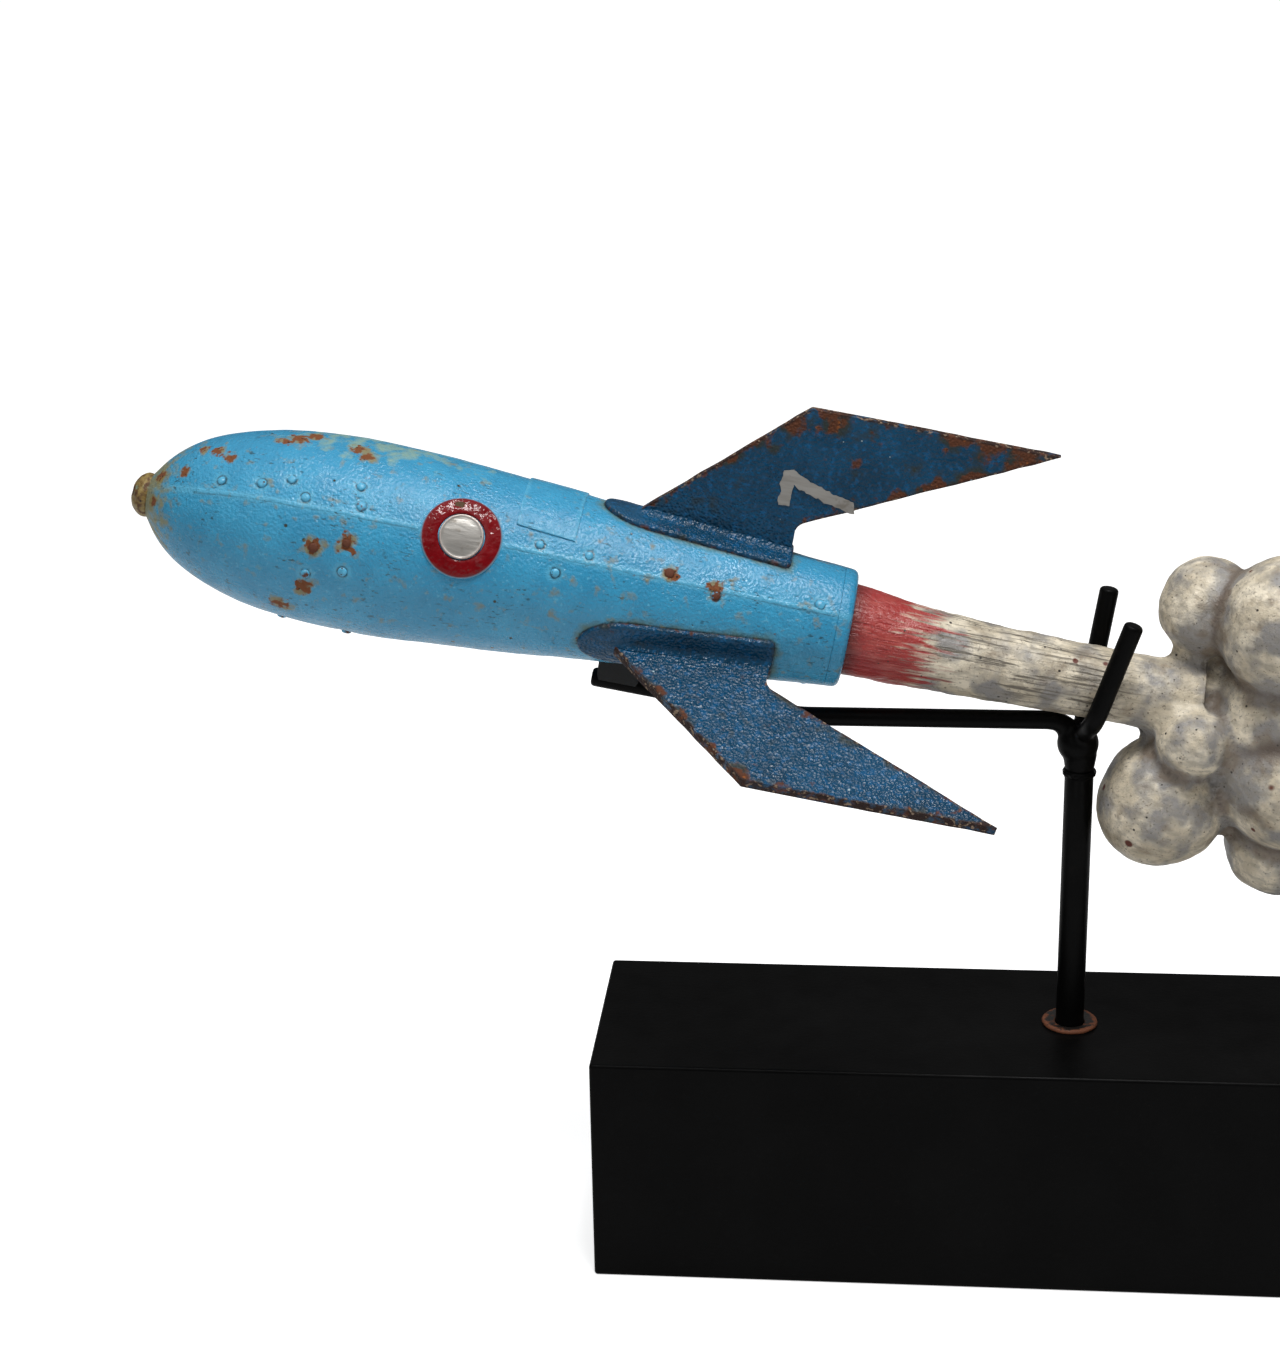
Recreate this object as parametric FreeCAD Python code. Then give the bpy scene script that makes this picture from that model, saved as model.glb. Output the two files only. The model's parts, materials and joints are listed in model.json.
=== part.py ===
"""Painted sheet-metal space rocket on a trail of carved smoke, resting in a rod stand on a block base.

World frame: origin at the centre of the base's underside, on the post's axis; +Z up, +X along the
base towards the smoke, -Y the side with the painted fin numeral. The rocket's own frame has its
X along the rocket's axis, measured as a station from the nose tip, and Z square to it, upwards.
Millimetres throughout.
"""
import FreeCAD, Part
import math
import os

V = FreeCAD.Vector
X_AXIS = V(1, 0, 0)
Y_AXIS = V(0, 1, 0)
Z_AXIS = V(0, 0, 1)

# ---- base -------------------------------------------------------------------------------------
base_length = 406.0
base_depth = 102.0
base_height = 102.0
base_edge_ease = 1.5
ferrule_diameter = 24.0
ferrule_height = 1.8

# ---- stand ------------------------------------------------------------------------------------
post_diameter = 12.0
post_seat_depth = 60.0
rod_diameter = 8.0
arm_reach = 199.0            # from the post's axis to the arm's front end
elbow_radius = 14.0          # the arm's bend down into the post, on its centre line
elbow_neck = 7.5             # rod that shows between the elbow and the post's top
spigot_depth = 24.0
prong_rise = 34.5            # prong tips above the plume's own axis
prong_splay = 1.9
prong_lean_near = 6.0
prong_lean_far = -1.2
prong_root_station = 5.0     # behind the point of the axis that lies over the post
prong_bend_radius = 12.0
rod_end_ease = 1.6
weld_radius = 8.6
weld_neck_radius = 7.2
pad_thickness = 4.6
pad_length = 18.0

# ---- rocket's place ---------------------------------------------------------------------------
tilt = 10.7                  # degrees, nose up
axis_height = 160.0          # the rocket's axis above the base's top, over the post
fork_to_tail = 98.0

# ---- hull -------------------------------------------------------------------------------------
hull_length = 302.0
hull_radius = 40.0
sheet_thickness = 1.2
cap_length = 8.0
cap_radius = 9.3
cap_spigot_radius = 5.0
cap_spigot_length = 16.0
collar_length = 6.0
collar_edge_radius = 2.5
seam_width = 1.8
seam_height = 0.5
# shares of the way from the cap to the tail, and of the hull's largest radius
hull_outline = ((0.0, 0.2325), (0.054, 0.635), (0.129, 0.8625), (0.282, 1.0),
                (0.463, 0.945), (0.639, 0.835), (0.823, 0.720), (1.0, 0.610))

# ---- nails: station from the nose, degrees from the seam --------------------------------------
nail_head_radius = 1.9
nail_head_height = 0.8
nail_shank_radius = 0.7
nail_length = 9.0
nail_places = ((41, -9), (58, -10), (70, -15), (77, -5), (98, -18), (100, -6), (84, 23), (97, 17),
               (82, 40), (97, 34), (173, -5.5), (193, -5), (181, 11), (226, -5), (246, 5), (288, -6))

# ---- portholes, hatch -------------------------------------------------------------------------
porthole_station = 141.6
ring_radius = 16.5
ring_height = 1.0
disc_radius = 9.2
disc_height = 1.3
hatch_station = 162.0
hatch_length = 24.5
hatch_half_angle = 46.0
hatch_height = 0.7

# ---- fins -------------------------------------------------------------------------------------
fin_reach = 89.4             # from the rocket's axis
fin_thickness = 4.8
fin_root_before_tail = 95.0  # where the leading edge leaves the hull
fin_outer_before_tail = 32.0
fin_tip_past_tail = 69.0
fin_rear_before_tail = 29.5
fin_rear_height = 9.0        # of the upright step behind the root, above the hull
fin_rear_fillet = 6.0
shoe_before_tail = 108.0
shoe_half_width = 11.5
shoe_thickness = 1.8
shoe_rear_round = 3.0
tang_length = 15.0
tang_depth = 12.0
tang_places = (84.0, 50.0)   # front ends, before the tail

# ---- plume ------------------------------------------------------------------------------------
stem_radius_tail = 19.1
stem_radius_fork = 15.2
stem_drop = 2.7              # how far the stem has dropped below the rocket's axis at the fork
stem_radius_cloud = 14.4
stem_tenon = 68.0            # from the fork to the stem's end, inside the cloud
dowel_radius = 6.0
dowel_half = 35.0
core_place = (88.0, -4.0, -6.0)
core_radius = 37.0
# station from the fork, height, distance towards -Y, radius
puffs = ((45.0, 35.0, -10.0, 20.5), (75.0, 39.0, 8.0, 29.0), (48.0, -15.0, 15.0, 14.5),
         (44.0, -47.5, 2.0, 27.0), (92.0, -23.5, 8.0, 31.0), (95.0, -58.5, -2.0, 21.5),
         (126.0, 24.0, 6.0, 30.0), (130.0, -30.0, 2.0, 30.0), (154.0, -4.0, 2.0, 25.0),
         (72.0, 26.0, -28.0, 24.0), (77.0, -15.0, -33.0, 24.0), (110.0, -37.0, -30.0, 24.0),
         (118.0, 6.0, -31.0, 26.0))

# ---- clearances -------------------------------------------------------------------------------
running_fit = 0.05
body_gap = 0.3
prong_gap = 0.6
nail_gap = 0.05
tang_gap = 0.1

# ---- worked out -------------------------------------------------------------------------------
rod_radius = rod_diameter / 2
tilt_rad = math.radians(tilt)
axis_z = base_height + axis_height
fork_station = hull_length + fork_to_tail
rest_station = fork_station - arm_reach
stem_reach = (stem_radius_fork + stem_drop) / math.cos(tilt_rad)
arm_below_axis = stem_reach + rod_radius + 1.0 - elbow_radius * math.tan(tilt_rad)
arm_z = axis_z - arm_below_axis
post_top = arm_z - elbow_radius - elbow_neck
prong_offset = stem_radius_fork + prong_gap + rod_radius


# ---- helpers ----------------------------------------------------------------------------------
def place_rocket(shape):
    """From the rocket's own frame to the world's."""
    placed = shape.copy()
    placed.translate(V(-fork_station, 0, 0))
    placed.rotate(V(0, 0, 0), Y_AXIS, tilt)
    placed.translate(V(0, 0, axis_z))
    return placed


def rocket_point(station, height, side=0.0):
    """A world point from a station, a height off the axis and a distance towards -Y."""
    along = station - fork_station
    return V(along * math.cos(tilt_rad) + height * math.sin(tilt_rad), -side,
             axis_z - along * math.sin(tilt_rad) + height * math.cos(tilt_rad))


def around(shape, degrees):
    """A copy turned about the rocket's axis, from the top towards -Y."""
    turned = shape.copy()
    turned.rotate(V(0, 0, 0), X_AXIS, degrees)
    return turned


def revolved(edges):
    """A solid of revolution about X from a closed outline in the XZ plane."""
    return Part.Face(Part.Wire(edges)).revolve(V(0, 0, 0), X_AXIS, 360)


def outline_edges(points):
    closed = list(points) + [points[0]]
    return [Part.LineSegment(a, b).toShape() for a, b in zip(closed, closed[1:])]


def prism(points, direction):
    """A solid from a closed outline, pushed along a direction."""
    return Part.Face(Part.Wire(outline_edges(points))).extrude(direction)


def rod_along(points, bends, radius):
    """A round rod that follows straight runs joined by tangent arcs."""
    edges = []
    start = points[0]
    for before, corner, after, bend in zip(points, points[1:], points[2:], bends):
        back = (before - corner).normalize()
        ahead = (after - corner).normalize()
        half = back.getAngle(ahead) / 2
        reach = bend / math.tan(half)
        centre = corner + (back + ahead).normalize() * (bend / math.sin(half))
        arc_start = corner + back * reach
        arc_end = corner + ahead * reach
        middle = centre + (corner - centre).normalize() * bend
        edges.append(Part.LineSegment(start, arc_start).toShape())
        edges.append(Part.Arc(arc_start, middle, arc_end).toShape())
        start = arc_end
    edges.append(Part.LineSegment(start, points[-1]).toShape())
    path = Part.Wire(edges)
    section = Part.Wire([Part.Circle(points[0], points[1] - points[0], radius).toShape()])
    return path.makePipeShell([section], True, False)


def ease_end(rod, centre, radius, ease):
    """Eases the round edge at a rod's free end."""
    edges = [e for e in rod.Edges if abs(e.Length - 2 * math.pi * radius) < 0.01
             and (e.CenterOfMass - centre).Length < 0.01]
    return rod.makeFillet(ease, edges)


# ---- hull -------------------------------------------------------------------------------------
def hull_curve(offset=0.0):
    """The hull's side, from the cap to the tail, moved out by an offset."""
    length = hull_length - cap_length
    points = [V(cap_length + share * length, 0, hull_radius * size + offset)
              for share, size in hull_outline]
    curve = Part.BSplineCurve()
    curve.interpolate(points)
    return curve


def hull_at(station):
    """The hull's radius and slope at a station."""
    curve = hull_curve()
    low, high = curve.FirstParameter, curve.LastParameter
    for _ in range(40):
        middle = (low + high) / 2
        if curve.value(middle).x < station:
            low = middle
        else:
            high = middle
    tangent = curve.tangent(low)[0]
    return curve.value(low).z, tangent.z / tangent.x


def hull_solid(offset=0.0):
    """The solid inside the hull's side, from the cap to the tail."""
    curve = hull_curve(offset)
    front = curve.value(curve.FirstParameter)
    rear = curve.value(curve.LastParameter)
    corners = (front, V(front.x, 0, 0), V(rear.x, 0, 0), rear)
    edges = [Part.LineSegment(a, b).toShape() for a, b in zip(corners, corners[1:])]
    return revolved([curve.toShape()] + edges)


def hull_layer(inner, outer):
    return hull_solid(outer).cut(hull_solid(inner))


def sector(start, end, middle_angle, half_angle):
    """A wedge about the rocket's axis between two stations."""
    wedge = Part.makeCylinder(3 * hull_radius, end - start, V(start, 0, 0), X_AXIS, 2 * half_angle)
    wedge.rotate(V(0, 0, 0), X_AXIS, middle_angle - half_angle - cylinder_zero())
    return wedge


def cylinder_zero():
    """The angle, from the top towards -Y, at which a wedge made along X starts."""
    wedge = Part.makeCylinder(1, 1, V(0, 0, 0), X_AXIS, 2)
    middle = wedge.CenterOfMass
    return math.degrees(math.atan2(-middle.y, middle.z)) - 1


def on_hull(shape, station, degrees, lift=0.0):
    """Stands a shape made along Z on the hull's surface, square to it."""
    radius, slope = hull_at(station)
    lean = math.degrees(math.atan(slope))
    placed = shape.copy()
    placed.translate(V(0, 0, lift))
    placed.rotate(V(0, 0, 0), Y_AXIS, -lean)
    placed.translate(V(station, 0, radius))
    return around(placed, degrees)


def nail_spots():
    """Station and angle of each nail, for the three seams."""
    spots = []
    for seam in (60, 180, 300):
        side = -1 if seam == 300 else 1
        spots += [(station, seam + side * offset) for station, offset in nail_places]
    return spots


def nail():
    """One nail along Z, with its head's underside at zero."""
    shank = Part.makeCylinder(nail_shank_radius, nail_length, V(0, 0, -nail_length))
    head = Part.makeCone(nail_head_radius, nail_head_radius * 0.55, nail_head_height)
    return shank.fuse(head)


def nail_holes():
    """Room for the nails' shanks."""
    shank = Part.makeCylinder(nail_shank_radius + nail_gap, nail_length + 2,
                              V(0, 0, -nail_length - nail_gap))
    return [on_hull(shank, station, angle) for station, angle in nail_spots()]


def cut_one_by_one(shape, tools):
    """Cuts with each tool in turn, which keeps small holes that one joint cut can miss."""
    for tool in tools:
        shape = shape.cut(tool)
    return shape


def tang(front, gap=0.0):
    """One fin tang, for the top fin, from its front end's station."""
    radius = hull_at(front + tang_length)[0]
    foot = radius - sheet_thickness - tang_depth - gap
    return Part.makeBox(tang_length + 2 * gap, fin_thickness + 2 * gap, fin_reach / 2 - foot,
                        V(front - gap, -fin_thickness / 2 - gap, foot))


def tangs(gap=0.0):
    return [tang(hull_length - place, gap) for place in tang_places]


def make_hull():
    collar_start = hull_length - collar_length
    holes = nail_holes()
    slots = [around(t, angle) for t in tangs(tang_gap) for angle in (0, 120, 240)]
    parts = {}
    skin = hull_layer(-sheet_thickness, 0.0)
    for name, angle in (("hull_panel_top", 0), ("hull_panel_near", 120), ("hull_panel_far", 240)):
        panel = skin.common(sector(cap_length, collar_start, angle, 60))
        parts[name] = cut_one_by_one(panel, holes + slots)
    inside = hull_solid(-sheet_thickness)
    core = inside.common(Part.makeCylinder(hull_radius, collar_start - cap_length,
                                           V(cap_length, 0, 0), X_AXIS))
    spigot = Part.makeCylinder(cap_spigot_radius + tang_gap, cap_spigot_length + tang_gap,
                               V(cap_length, 0, 0), X_AXIS)
    parts["hull_core"] = cut_one_by_one(core, holes + slots + [spigot, dowel(tang_gap)])
    parts["nose_cap"] = nose_cap()
    parts["tail_collar"] = tail_collar(collar_start)
    head = nail()
    parts["seam_nails"] = Part.makeCompound(
        [on_hull(head, station, angle, nail_gap) for station, angle in nail_spots()])
    return parts


def nose_cap():
    """Domed cap with a shallow neck behind its bead and a spigot into the core."""
    bead = cap_length * 0.6
    edges = [Part.Arc(V(0, 0, 0), V(cap_radius * 0.22, 0, cap_radius * 0.75),
                      V(bead, 0, cap_radius)).toShape(),
             Part.LineSegment(V(bead, 0, cap_radius), V(cap_length, 0, cap_radius * 0.94)).toShape(),
             Part.LineSegment(V(cap_length, 0, cap_radius * 0.94), V(cap_length, 0, 0)).toShape(),
             Part.LineSegment(V(cap_length, 0, 0), V(0, 0, 0)).toShape()]
    spigot = Part.makeCylinder(cap_spigot_radius, cap_spigot_length, V(cap_length, 0, 0), X_AXIS)
    return revolved(edges).fuse(spigot)


def tail_collar(start):
    """Ring with a rounded rim that closes the sheet at the tail, round the stem."""
    inner = stem_radius_tail + tang_gap
    ring = hull_solid().common(Part.makeCylinder(hull_radius, collar_length, V(start, 0, 0), X_AXIS))
    rim = [e for e in ring.Edges if abs(e.CenterOfMass.x - hull_length) < 0.01
           and e.Length > 2 * math.pi * inner]
    rounded = ring.makeFillet(collar_edge_radius, rim)
    return rounded.cut(Part.makeCylinder(inner, collar_length + 2, V(start - 1, 0, 0), X_AXIS))


def make_seams():
    """Raised solder beads where the sheet panels meet, broken by the portholes."""
    layer = hull_layer(0.0, seam_height)
    half_angle = math.degrees(seam_width / 2 / hull_radius)
    eye = Part.makeCylinder(ring_radius + tang_gap, 4 * hull_radius, V(porthole_station, 0, 0))
    parts = {}
    for name, angle in (("seam_near", 60), ("seam_belly", 180), ("seam_far", 300)):
        bead = layer.common(sector(cap_length + 22, hull_length - collar_length, angle, half_angle))
        bead = bead.cut(nail_head_rooms())
        if angle != 180:
            bead = bead.cut(around(eye, angle))
        parts[name] = bead
    return parts


def nail_head_rooms():
    """Room round the nail heads."""
    room = Part.makeCylinder(nail_head_radius + tang_gap, 4, V(0, 0, -2))
    return [on_hull(room, station, angle) for station, angle in nail_spots()]


def make_portholes():
    """A ring bent to the hull with a raised disc in its eye, on each side."""
    upright = V(porthole_station, 0, 0)
    depth = 4 * hull_radius
    tube = Part.makeCylinder(ring_radius, depth, upright)
    tube = tube.cut(Part.makeCylinder(disc_radius + tang_gap, depth, upright))
    plug = Part.makeCylinder(disc_radius, depth, upright)
    ring_layer = hull_layer(0.0, ring_height)
    disc_layer = hull_layer(0.0, disc_height)
    parts = {}
    for side, angle in (("near", 60), ("far", 300)):
        parts["porthole_ring_" + side] = ring_layer.common(around(tube, angle))
        parts["porthole_disc_" + side] = disc_layer.common(around(plug, angle))
    return parts


def make_hatch():
    layer = hull_layer(0.0, hatch_height)
    return {"hatch_plate": layer.common(sector(hatch_station, hatch_station + hatch_length,
                                               0, hatch_half_angle))}


# ---- fins -------------------------------------------------------------------------------------
def fin_outline():
    """The top fin's side view: swept leading edge, level outer edge, long pointed heel."""
    front = hull_length - fin_root_before_tail
    outer = hull_length - fin_outer_before_tail
    tip = hull_length + fin_tip_past_tail
    rear = hull_length - fin_rear_before_tail
    front_radius = hull_at(front)[0]
    rear_radius = hull_at(rear)[0]
    sweep = (outer - front) / (fin_reach - front_radius)
    inside = rear_radius - sheet_thickness
    lead = front - sweep * (front_radius - inside)
    return [V(lead, 0, inside), V(outer, 0, fin_reach), V(tip, 0, fin_reach - 0.8),
            V(rear, 0, rear_radius + fin_rear_height), V(rear, 0, inside)]


def make_fins():
    """Three plate fins, each standing in a sheet shoe bent to the hull."""
    points = fin_outline()
    plate = prism(points, V(0, fin_thickness, 0))
    plate.translate(V(0, -fin_thickness / 2, 0))
    step = [e for e in plate.Edges if (e.CenterOfMass - V(points[3].x, 0, points[3].z)).Length < 0.01]
    plate = plate.makeFillet(fin_rear_fillet, step)
    envelope = hull_solid(shoe_thickness)
    fin = plate.cut(envelope)
    for piece in tangs():
        fin = fin.fuse(piece.common(envelope))
    fin = fin.removeSplitter()
    shoe = shoe_plate().cut(tangs(tang_gap))
    parts = {}
    for side, angle in (("top", 0), ("near", 120), ("far", 240)):
        parts["fin_" + side] = around(fin, angle)
        parts["fin_shoe_" + side] = around(shoe, angle)
    return parts


def shoe_plate():
    """Bullet-fronted strip, bent to the hull."""
    front = hull_length - shoe_before_tail
    rear = hull_length - fin_rear_before_tail + 1.0
    half = shoe_half_width
    nose = V(front, 0, 0)
    shoulder = front + 1.6 * half
    side_point = V(front + 0.45 * half, 0.72 * half, 0)
    edges = [Part.Arc(nose, side_point, V(shoulder, half, 0)).toShape(),
             Part.LineSegment(V(shoulder, half, 0), V(rear, half, 0)).toShape(),
             Part.LineSegment(V(rear, half, 0), V(rear, -half, 0)).toShape(),
             Part.LineSegment(V(rear, -half, 0), V(shoulder, -half, 0)).toShape(),
             Part.Arc(V(shoulder, -half, 0), V(side_point.x, -side_point.y, 0), nose).toShape()]
    column = Part.Face(Part.Wire(edges)).extrude(V(0, 0, 2 * hull_radius))
    corners = [e for e in column.Edges if abs(e.CenterOfMass.x - rear) < 0.01
               and abs(abs(e.CenterOfMass.y) - half) < 0.01]
    column = column.makeFillet(shoe_rear_round, corners)
    return hull_layer(0.0, shoe_thickness).common(column)


# ---- plume ------------------------------------------------------------------------------------
def stem_solid(extra=0.0):
    """Carved stem: round sections lofted from the tail to its end in the cloud."""
    collar_start = hull_length - collar_length
    sections = ((hull_length, 0.0, stem_radius_tail),
                (fork_station - 35, -stem_drop, stem_radius_fork + 0.6),
                (fork_station, -stem_drop, stem_radius_fork),
                (fork_station + stem_tenon, -stem_drop, stem_radius_cloud))
    wires = [Part.Wire([Part.Circle(V(station, 0, height), X_AXIS, radius + extra).toShape()])
             for station, height, radius in sections]
    stem = Part.makeLoft(wires, True, False)
    root = Part.makeCylinder(stem_radius_tail + extra, collar_length, V(collar_start, 0, 0), X_AXIS)
    return stem.fuse(root)


def dowel(gap=0.0):
    middle = hull_length - collar_length
    return Part.makeCylinder(dowel_radius + gap, 2 * (dowel_half + gap),
                             V(middle - dowel_half - gap, 0, 0), X_AXIS)


def make_plume():
    """The stem, its dowel, and the cloud of balls cut to meet each other face to face."""
    stem = stem_solid()
    core = ball(core_place, core_radius).cut(stem)
    parts = {"plume_stem": stem.cut(dowel(tang_gap)), "tail_dowel": dowel(), "cloud_core": core}
    taken = [stem, ball(core_place, core_radius)]
    for number, (along, height, side, radius) in enumerate(puffs, 1):
        whole = ball((along, height, side), radius)
        left = whole
        for other in taken:
            left = largest(left.cut(other))
        parts["smoke_puff_%02d" % number] = left
        taken.append(whole)
    return parts


def ball(place, radius):
    along, height, side = place
    return Part.makeSphere(radius, V(fork_station + along, -side, height))


def largest(shape):
    return max(shape.Solids, key=lambda solid: solid.Volume)


# ---- stand and base ---------------------------------------------------------------------------
def arm_rod():
    """One rod: up against the belly in front, level over the base, and bent down into the post."""
    below = hull_at(rest_station)[0] + body_gap + pad_thickness + rod_radius
    front = rocket_point(rest_station, -below)
    slope = math.tan(tilt_rad)
    kink = V(front.x + (front.z - arm_z) / slope, 0, arm_z)
    points = [front, kink, V(0, 0, arm_z), V(0, 0, post_top - spigot_depth)]
    rod = rod_along(points, (40.0, elbow_radius), rod_radius)
    return ease_end(rod, front, rod_radius, rod_end_ease)


def prong(side, lean):
    """One prong: out from the elbow under the plume, then up beside it."""
    root = fork_station + prong_root_station
    points = [rocket_point(root, -stem_drop - 1.28 * prong_offset, 0.1 * side),
              rocket_point(root + 1.5, -stem_drop - 0.52 * prong_offset, prong_offset * side),
              rocket_point(root + 1.5 + lean, prong_rise - stem_drop,
                           (prong_offset + prong_splay) * side)]
    rod = rod_along(points, (prong_bend_radius,), rod_radius)
    half_space = Part.makeBox(200, 100, 400, V(-100, 0 if side < 0 else -100, 0))
    return ease_end(rod, points[-1], rod_radius, rod_end_ease).common(half_space)


def make_stand():
    arm = arm_rod()
    bore = Part.makeCylinder(rod_radius + running_fit, post_top, V(0, 0, post_top - spigot_depth - 1))
    post_foot = base_height - post_seat_depth + body_gap
    post = Part.makeCylinder(post_diameter / 2, post_top - post_foot, V(0, 0, post_foot)).cut(bore)
    near = prong(1, prong_lean_near).cut(arm)
    far = prong(-1, prong_lean_far).cut(arm)
    lump = Part.makeSphere(weld_radius, V(-1.0, 0, post_top + elbow_neck + 4))
    neck = Part.makeCone(post_diameter / 2, weld_neck_radius, elbow_neck, V(0, 0, post_top))
    stem_room = place_rocket(stem_solid(prong_gap))
    weld = lump.fuse(neck).cut([arm, prong(1, prong_lean_near), prong(-1, prong_lean_far), stem_room])
    return {"post": post, "arm_rod": arm, "prong_near": near, "prong_far": far,
            "elbow_weld": weld, "belly_pad": belly_pad(arm)}


def belly_pad(arm):
    """Rubber pad on the arm's front end, hollowed to the belly."""
    start = rest_station + 2.0
    radius = hull_at(start)[0]
    block = Part.makeBox(pad_length, rod_diameter, pad_thickness + rod_radius + 3,
                         V(start, -rod_radius, -radius - pad_thickness - rod_radius))
    block = block.makeFillet(1.5, [e for e in block.Edges if abs(e.tangentAt(e.FirstParameter).z) > 0.9])
    hollow = hull_solid(seam_height + body_gap)
    return place_rocket(block.cut(hollow)).cut(arm)


def make_base():
    """Block bored for the post, with a thin ferrule round the bore's mouth."""
    block = Part.makeBox(base_length, base_depth, base_height, V(-base_length / 2, -base_depth / 2, 0))
    block = block.makeFillet(base_edge_ease, block.Edges)
    seat = Part.makeCylinder(post_diameter / 2 + running_fit, post_seat_depth + 10,
                             V(0, 0, base_height - post_seat_depth))
    ferrule = Part.makeCone(ferrule_diameter / 2, ferrule_diameter / 2 - ferrule_height,
                            ferrule_height, V(0, 0, base_height))
    return {"base_block": block.cut(seat), "post_ferrule": ferrule.cut(seat)}


# ---- write ------------------------------------------------------------------------------------
def main():
    rocket = {}
    for maker in (make_hull, make_seams, make_portholes, make_hatch, make_fins, make_plume):
        rocket.update(maker())
    parts = {name: place_rocket(shape) for name, shape in rocket.items()}
    parts.update(make_stand())
    parts.update(make_base())
    os.makedirs("parts", exist_ok=True)
    for name, shape in parts.items():
        shape.exportStep("parts/%s.step" % name)
        print("%-20s solids %d valid %s volume %.0f" % (name, len(shape.Solids), shape.isValid(),
                                                       shape.Volume))


main()
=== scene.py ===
"""Painted sheet-metal space rocket on a trail of carved smoke, in a rod stand on a block base.

Pieces are modelled in millimetres. The rocket's own are modelled along its axis, where X is the
station from the nose tip and Z is square to it, upwards, and are then put in their place in metres.
Angles round the rocket are in degrees, from its top towards -Y.
"""
import bmesh
import bpy
import json
import math
import random
from mathutils import Matrix, Vector, kdtree, noise


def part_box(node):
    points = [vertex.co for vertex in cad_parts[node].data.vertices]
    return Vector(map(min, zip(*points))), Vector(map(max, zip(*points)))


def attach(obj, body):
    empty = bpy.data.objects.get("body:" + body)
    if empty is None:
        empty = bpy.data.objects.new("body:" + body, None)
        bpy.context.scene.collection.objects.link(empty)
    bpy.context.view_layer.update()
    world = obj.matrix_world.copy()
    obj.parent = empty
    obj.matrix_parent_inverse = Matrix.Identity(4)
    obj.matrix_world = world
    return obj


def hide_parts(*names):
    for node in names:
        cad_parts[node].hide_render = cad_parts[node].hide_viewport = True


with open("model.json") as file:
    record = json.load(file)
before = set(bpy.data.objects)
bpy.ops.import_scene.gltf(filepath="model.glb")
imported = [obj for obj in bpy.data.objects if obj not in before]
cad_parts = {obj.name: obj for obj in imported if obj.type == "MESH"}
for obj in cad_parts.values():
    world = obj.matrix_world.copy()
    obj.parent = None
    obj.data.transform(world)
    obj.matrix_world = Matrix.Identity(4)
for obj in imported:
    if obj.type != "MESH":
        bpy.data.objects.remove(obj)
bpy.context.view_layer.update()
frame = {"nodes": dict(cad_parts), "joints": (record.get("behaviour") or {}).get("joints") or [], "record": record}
nodes = frame["nodes"]

MM = 0.001
FROM_MM = Matrix.Scale(MM, 4)

# ---- the rocket's own frame -------------------------------------------------------------------
lift = next(Vector(j["axis"]) for j in frame["joints"] if j["name"] == "rocket_lift").normalized()
along = Vector((lift.z, 0, -lift.x))
dowel_low, dowel_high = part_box("tail_dowel")
on_axis = (dowel_low + dowel_high) / 2
nose_tip = on_axis + along * min((v.co - on_axis).dot(along) for v in nodes["nose_cap"].data.vertices)
turned_axes = Matrix((along, (0, 1, 0), lift)).transposed().to_4x4()
ROCKET = Matrix.Translation(nose_tip) @ turned_axes @ FROM_MM
TO_ROCKET = ROCKET.inverted()
fork_station = -nose_tip.x / along.x / MM


def rocket_corners(node):
    """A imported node's vertices in the rocket's own frame, in millimetres."""
    return [TO_ROCKET @ v.co for v in nodes[node].data.vertices]


def reach(points):
    """Each point's distance from the rocket's axis."""
    return [math.hypot(p.y, p.z) for p in points]


panel_corners = rocket_corners("hull_panel_top")
sheet_start = min(p.x for p in panel_corners)
sheet_end = max(p.x for p in panel_corners)
tail = max(p.x for p in rocket_corners("tail_collar"))

# ---- sizes carried over from the hard parts ---------------------------------------------------
SEAM_ANGLES = (60, 180, 300)
FIN_ANGLES = {"top": 0, "near": 120, "far": 240}
# station behind the fork, height, distance towards -Y, radius
SMOKE_BALLS = ((45, 35, -10, 20.5), (75, 39, 8, 29), (48, -15, 15, 14.5), (44, -47.5, 2, 27),
               (92, -23.5, 8, 31), (95, -58.5, -2, 21.5), (126, 24, 6, 30), (130, -30, 2, 30),
               (154, -4, 2, 25), (72, 26, -28, 24), (77, -15, -33, 24), (110, -37, -30, 24),
               (118, 6, -31, 26), (88, -4, -6, 37))

# ---- camera, light and floor ------------------------------------------------------------------
camera_data = bpy.data.cameras.new("camera")
camera_data.lens = 73.64
camera = bpy.data.objects.new("camera", camera_data)
bpy.context.scene.collection.objects.link(camera)
CAMERA_TURN = math.radians(5.695)
CAMERA_DIP = math.radians(20.191)
CAMERA_ROLL = math.radians(-1.136)
camera.matrix_world = (Matrix.Translation((-0.0751, -1.0824, 0.6573))
                       @ Matrix.Rotation(CAMERA_TURN, 4, "Z")
                       @ Matrix.Rotation(math.pi / 2 - CAMERA_DIP, 4, "X")
                       @ Matrix.Rotation(CAMERA_ROLL, 4, "Z"))
bpy.context.scene.camera = camera
bpy.context.scene.view_settings.view_transform = "Standard"


def soft_light(name, place, target, width, height, watts):
    """A softbox that faces a point."""
    data = bpy.data.lights.new(name, "AREA")
    data.shape = "RECTANGLE"
    data.size = width
    data.size_y = height
    data.energy = watts
    lamp = bpy.data.objects.new(name, data)
    bpy.context.scene.collection.objects.link(lamp)
    aim = (Vector(target) - Vector(place)).to_track_quat("-Z", "Y")
    lamp.matrix_world = Matrix.Translation(place) @ aim.to_matrix().to_4x4()


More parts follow.
